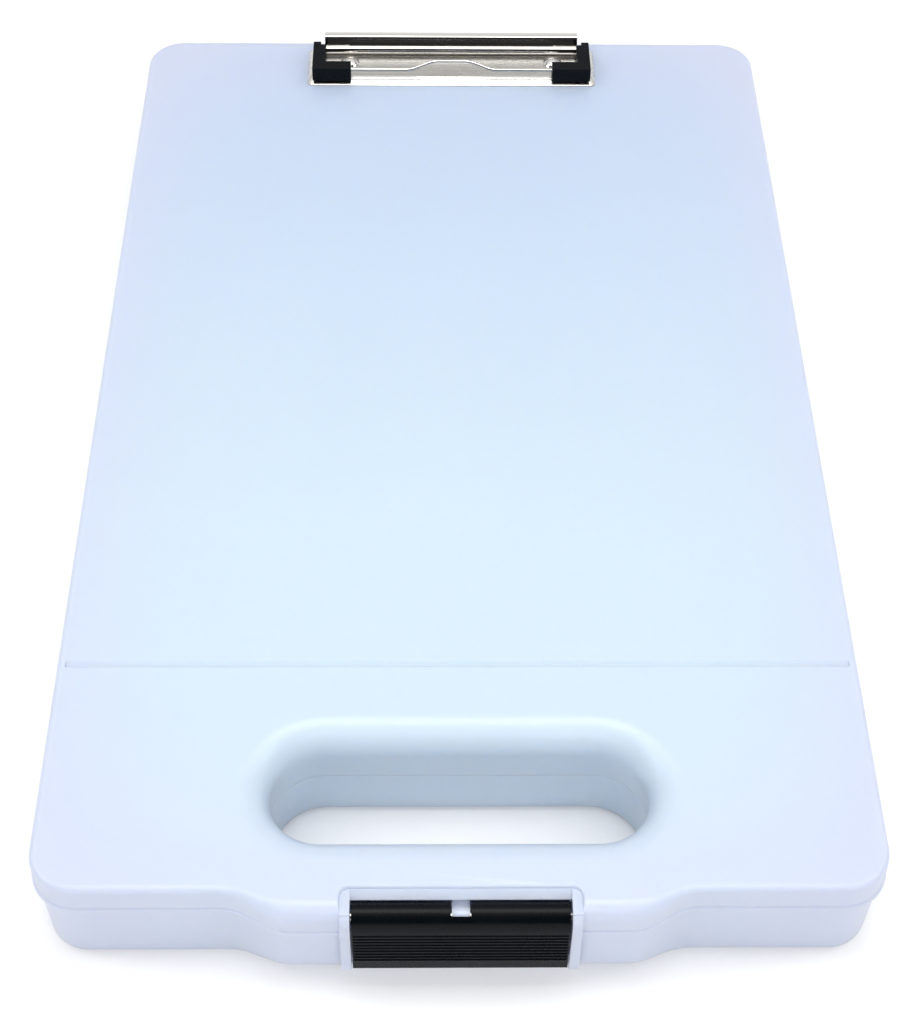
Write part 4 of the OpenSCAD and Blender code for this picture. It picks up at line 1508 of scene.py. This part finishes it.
@dataclass
class GeometryRows(NodeTool):
    """Repeats one piece in a row."""

    item: Piece
    count: int
    step: Place
    inputs: ClassVar[dict[str, str]] = {"Item": "Object", "Count": "Int", "Step": "Vector"}

    def shape(self, nodes: bpy.types.Nodes, links: bpy.types.NodeLinks, ports: Any) -> Any:
        """A line of points with an instance on each."""
        line = nodes.new("GeometryNodeMeshLine")
        info = nodes.new("GeometryNodeObjectInfo")
        place = nodes.new("GeometryNodeInstanceOnPoints")
        links.new(ports["Item"], info.inputs["Object"])
        links.new(ports["Count"], line.inputs["Count"])
        links.new(ports["Step"], line.inputs["Offset"])
        links.new(line.outputs["Mesh"], place.inputs["Points"])
        links.new(info.outputs["Geometry"], place.inputs["Instance"])
        return place.outputs["Instances"]

    def values(self) -> dict[str, Any]:
        """The piece, how often it stands and the step."""
        return {"Item": self.item, "Count": self.count, "Step": self.step}

    def build(self, name: str, origin: Place) -> Piece:
        """The row as one plain mesh whose first item is at an origin, in metres."""
        holder = new_object(name, bpy.data.meshes.new(name))
        self.run(holder)
        holder.data.transform(Matrix.Translation(Vector(origin)))
        mesh = self.item.data
        bpy.data.objects.remove(self.item)
        bpy.data.meshes.remove(mesh)
        return holder


@dataclass
class Sweep(NodeTool):
    """Pushes a round section along a closed route."""

    radius: float
    sides: int
    inputs: ClassVar[dict[str, str]] = {"Route": "Geometry", "Radius": "Float", "Sides": "Int"}

    def shape(self, nodes: bpy.types.Nodes, links: bpy.types.NodeLinks, ports: Any) -> Any:
        """The route's edges as a curve, with a circle along it."""
        curve = nodes.new("GeometryNodeMeshToCurve")
        section = nodes.new("GeometryNodeCurvePrimitiveCircle")
        skin = nodes.new("GeometryNodeCurveToMesh")
        links.new(ports["Route"], curve.inputs["Mesh"])
        links.new(ports["Radius"], section.inputs["Radius"])
        links.new(ports["Sides"], section.inputs["Resolution"])
        links.new(curve.outputs["Curve"], skin.inputs["Curve"])
        links.new(section.outputs["Curve"], skin.inputs["Profile Curve"])
        return skin.outputs["Mesh"]

    def values(self) -> dict[str, Any]:
        """The section's radius and sides."""
        return {"Radius": self.radius, "Sides": self.sides}

    def build(self, name: str, route: Ring) -> Piece:
        """The swept bar as one plain mesh, from a route in millimetres."""
        bm = bmesh.new()
        points = [bm.verts.new(p) for p in route]
        for i, point in enumerate(points):
            bm.edges.new((point, points[(i + 1) % len(points)]))
        bar = from_bmesh(name, bm, recalc=False)
        self.run(bar)
        turned = bmesh.new()
        turned.from_mesh(bar.data)
        bmesh.ops.recalc_face_normals(turned, faces=turned.faces)
        turned.to_mesh(bar.data)
        turned.free()
        return bar


@dataclass(frozen=True)
class Lamp:
    """One soft area lamp aimed at a spot."""

    name: str
    place: Place
    aim: Place
    size: Pair
    watts: float
    mirrored: bool = True

    def build(self) -> None:
        """Adds the lamp."""
        data = bpy.data.lights.new(self.name, "AREA")
        data.shape = "RECTANGLE"
        data.size, data.size_y = self.size
        data.energy = self.watts
        lamp = bpy.data.objects.new(self.name, data)
        lamp.location = self.place
        lamp.visible_glossy = self.mirrored
        lamp.rotation_euler = (
            (Vector(self.aim) - Vector(self.place)).to_track_quat("-Z", "Y").to_euler()
        )
        bpy.context.scene.collection.objects.link(lamp)


@dataclass(frozen=True)
class Studio:
    """Floor, lamps, world and the photograph's camera."""

    eye: Place = (-0.00879, -0.47706, 0.51464)
    pitch: float = 0.8483
    yaw: float = 0.0231
    roll: float = -0.0175
    lens_mm: float = 70.31
    lamps: tuple[Lamp, ...] = (
        Lamp("lamp_top", (0.0, 0.05, 1.5), (0.0, 0.0, 0.0), (0.7, 0.7), 7.0),
        Lamp("lamp_left", (-0.8, -0.05, 1.0), (0.0, -0.05, 0.0), (0.4, 0.7), 2.6),
        Lamp("lamp_right", (0.8, -0.05, 1.0), (0.0, -0.05, 0.0), (0.4, 0.7), 2.6),
        Lamp("lamp_front", (0.0, -1.1, 1.1), (0.0, -0.1, 0.0), (1.2, 0.6), 9.0, False),
    )
    sky: float = 0.64
    floor_half: float = 6.0

    def build(self) -> None:
        """Sets up everything round the object."""
        self.floor()
        self.world()
        for lamp in self.lamps:
            lamp.build()
        self.camera()
        bpy.context.scene.view_settings.view_transform = "Standard"

    def floor(self) -> None:
        """A wide white floor just under the case."""
        half, low = self.floor_half / MM, -0.02
        bm = bmesh.new()
        corners = [(-half, -half), (half, -half), (half, half), (-half, half)]
        bm.faces.new([bm.verts.new((x, y, low)) for x, y in corners])
        floor = from_bmesh("studio_floor", bm, recalc=False)
        floor.data.materials.append(WhiteSweep("white_sweep").material())

    def world(self) -> None:
        """Even white light, with dark and grey flags round it for the metal to mirror."""
        world = bpy.data.worlds.new("studio_sky")
        bpy.context.scene.world = world
        world.use_nodes = True
        graph = Graph(world.node_tree)
        way = graph.node("ShaderNodeTexCoord", {}, {})["Generated"]
        across, along, height = graph.axes(way)

        def band(*stops: tuple[float, float]) -> Sock:
            """Grey by height over the horizon."""
            colours = [(place, (grey, grey, grey, 1.0)) for place, grey in stops]
            return graph.node("ShaderNodeValToRGB", {"stops": colours}, {"Fac": height})["Color"]

        near = band((0.0, 0.05), (0.3, 0.02), (0.82, 0.04), (0.95, 1.1))
        far = band((0.0, 1.0), (0.42, 0.9), (0.52, 0.5), (0.66, 0.5), (0.76, 1.1))
        mirror = graph.mix(((along + 0.1) * 5.0).clamp(), near, far)
        ray = graph.node("ShaderNodeLightPath", {}, {})
        even = (self.sky, self.sky, self.sky, 1.0)
        seen = graph.mix(ray["Is Glossy Ray"], even, mirror)
        seen = graph.mix(ray["Is Camera Ray"], seen, (1.0, 1.0, 1.0, 1.0))
        sky = graph.node("ShaderNodeBackground", {}, {"Color": seen, "Strength": 1.0})["Background"]
        graph.node("ShaderNodeOutputWorld", {}, {"Surface": sky})

    def camera(self) -> None:
        """The camera, at the photograph's angle."""
        data = bpy.data.cameras.new("photo_camera")
        data.lens = self.lens_mm
        data.sensor_width = 36.0
        data.sensor_fit = "AUTO"
        data.clip_start = 0.01
        camera = bpy.data.objects.new("photo_camera", data)
        camera.location = self.eye
        sy, cy = math.sin(self.yaw), math.cos(self.yaw)
        sp, cp = math.sin(self.pitch), math.cos(self.pitch)
        ahead = Vector((sy * cp, cy * cp, -sp))
        right = Vector((cy, -sy, 0.0))
        down = Vector((-sy * sp, -cy * sp, -cp))
        sr, cr = math.sin(self.roll), math.cos(self.roll)
        right, down = cr * right + sr * down, cr * down - sr * right
        turn = Matrix((right, -down, -ahead)).transposed()
        camera.rotation_mode = "QUATERNION"
        camera.rotation_quaternion = turn.to_quaternion()
        bpy.context.scene.collection.objects.link(camera)
        bpy.context.scene.camera = camera


def main() -> None:
    """Builds each piece in order and reports it."""
    logging.basicConfig(level=logging.INFO, format="%(name)s: %(message)s")
    form, seat, hinge = CaseForm(), LatchSeat(), HingeForm()
    frosted = FrostedPlastic("frosted_plastic").material()
    black = SatinBlack("satin_black").material()
    sheet = PlatedMetal("nickel_sheet", roughness=0.1).material()
    satin = PlatedMetal("satin_nickel", roughness=0.26).material()
    steel = PlatedMetal("bright_steel", roughness=0.1, brush=Brush.NONE).material()

    Studio().build()
    dress(Tray(form, seat, hinge).build(), frosted, "tray", ["tray_shell"])
    dress(Lid(form, seat, hinge).build(), frosted, "lid", ["lid_shell"])
    latch, ribs = Latch(seat, black).build()
    dress(latch, black, "latch", ["latch"])
    dress(ribs, black, "latch", ["latch"])

    clip = ClipForm()
    dress(BasePlate(clip).build(), satin, "lid", ["clip_base"])
    dress(Rivets(clip, steel).build(), steel, "lid", ["rivet_left", "rivet_right"])
    dress(Lever(clip).build(), sheet, "clip_jaw", ["clip_lever"])
    dress(WireJaw(clip, steel).build(), steel, "clip_jaw", ["clip_wire"])
    for side, name in ((-1, "grip_left"), (1, "grip_right")):
        dress(Grip(clip, side).build(), black, "clip_jaw", [name])

    for name in (
        "hinge_pin_left", "hinge_pin_right", "latch_pin", "rivet_washer_left", "rivet_washer_right"
    ):
        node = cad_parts[name]
        node.data.materials.clear()
        node.data.materials.append(steel)
        LOG.info("%s keeps its solid", name)


if __name__ == "__main__":
    main()
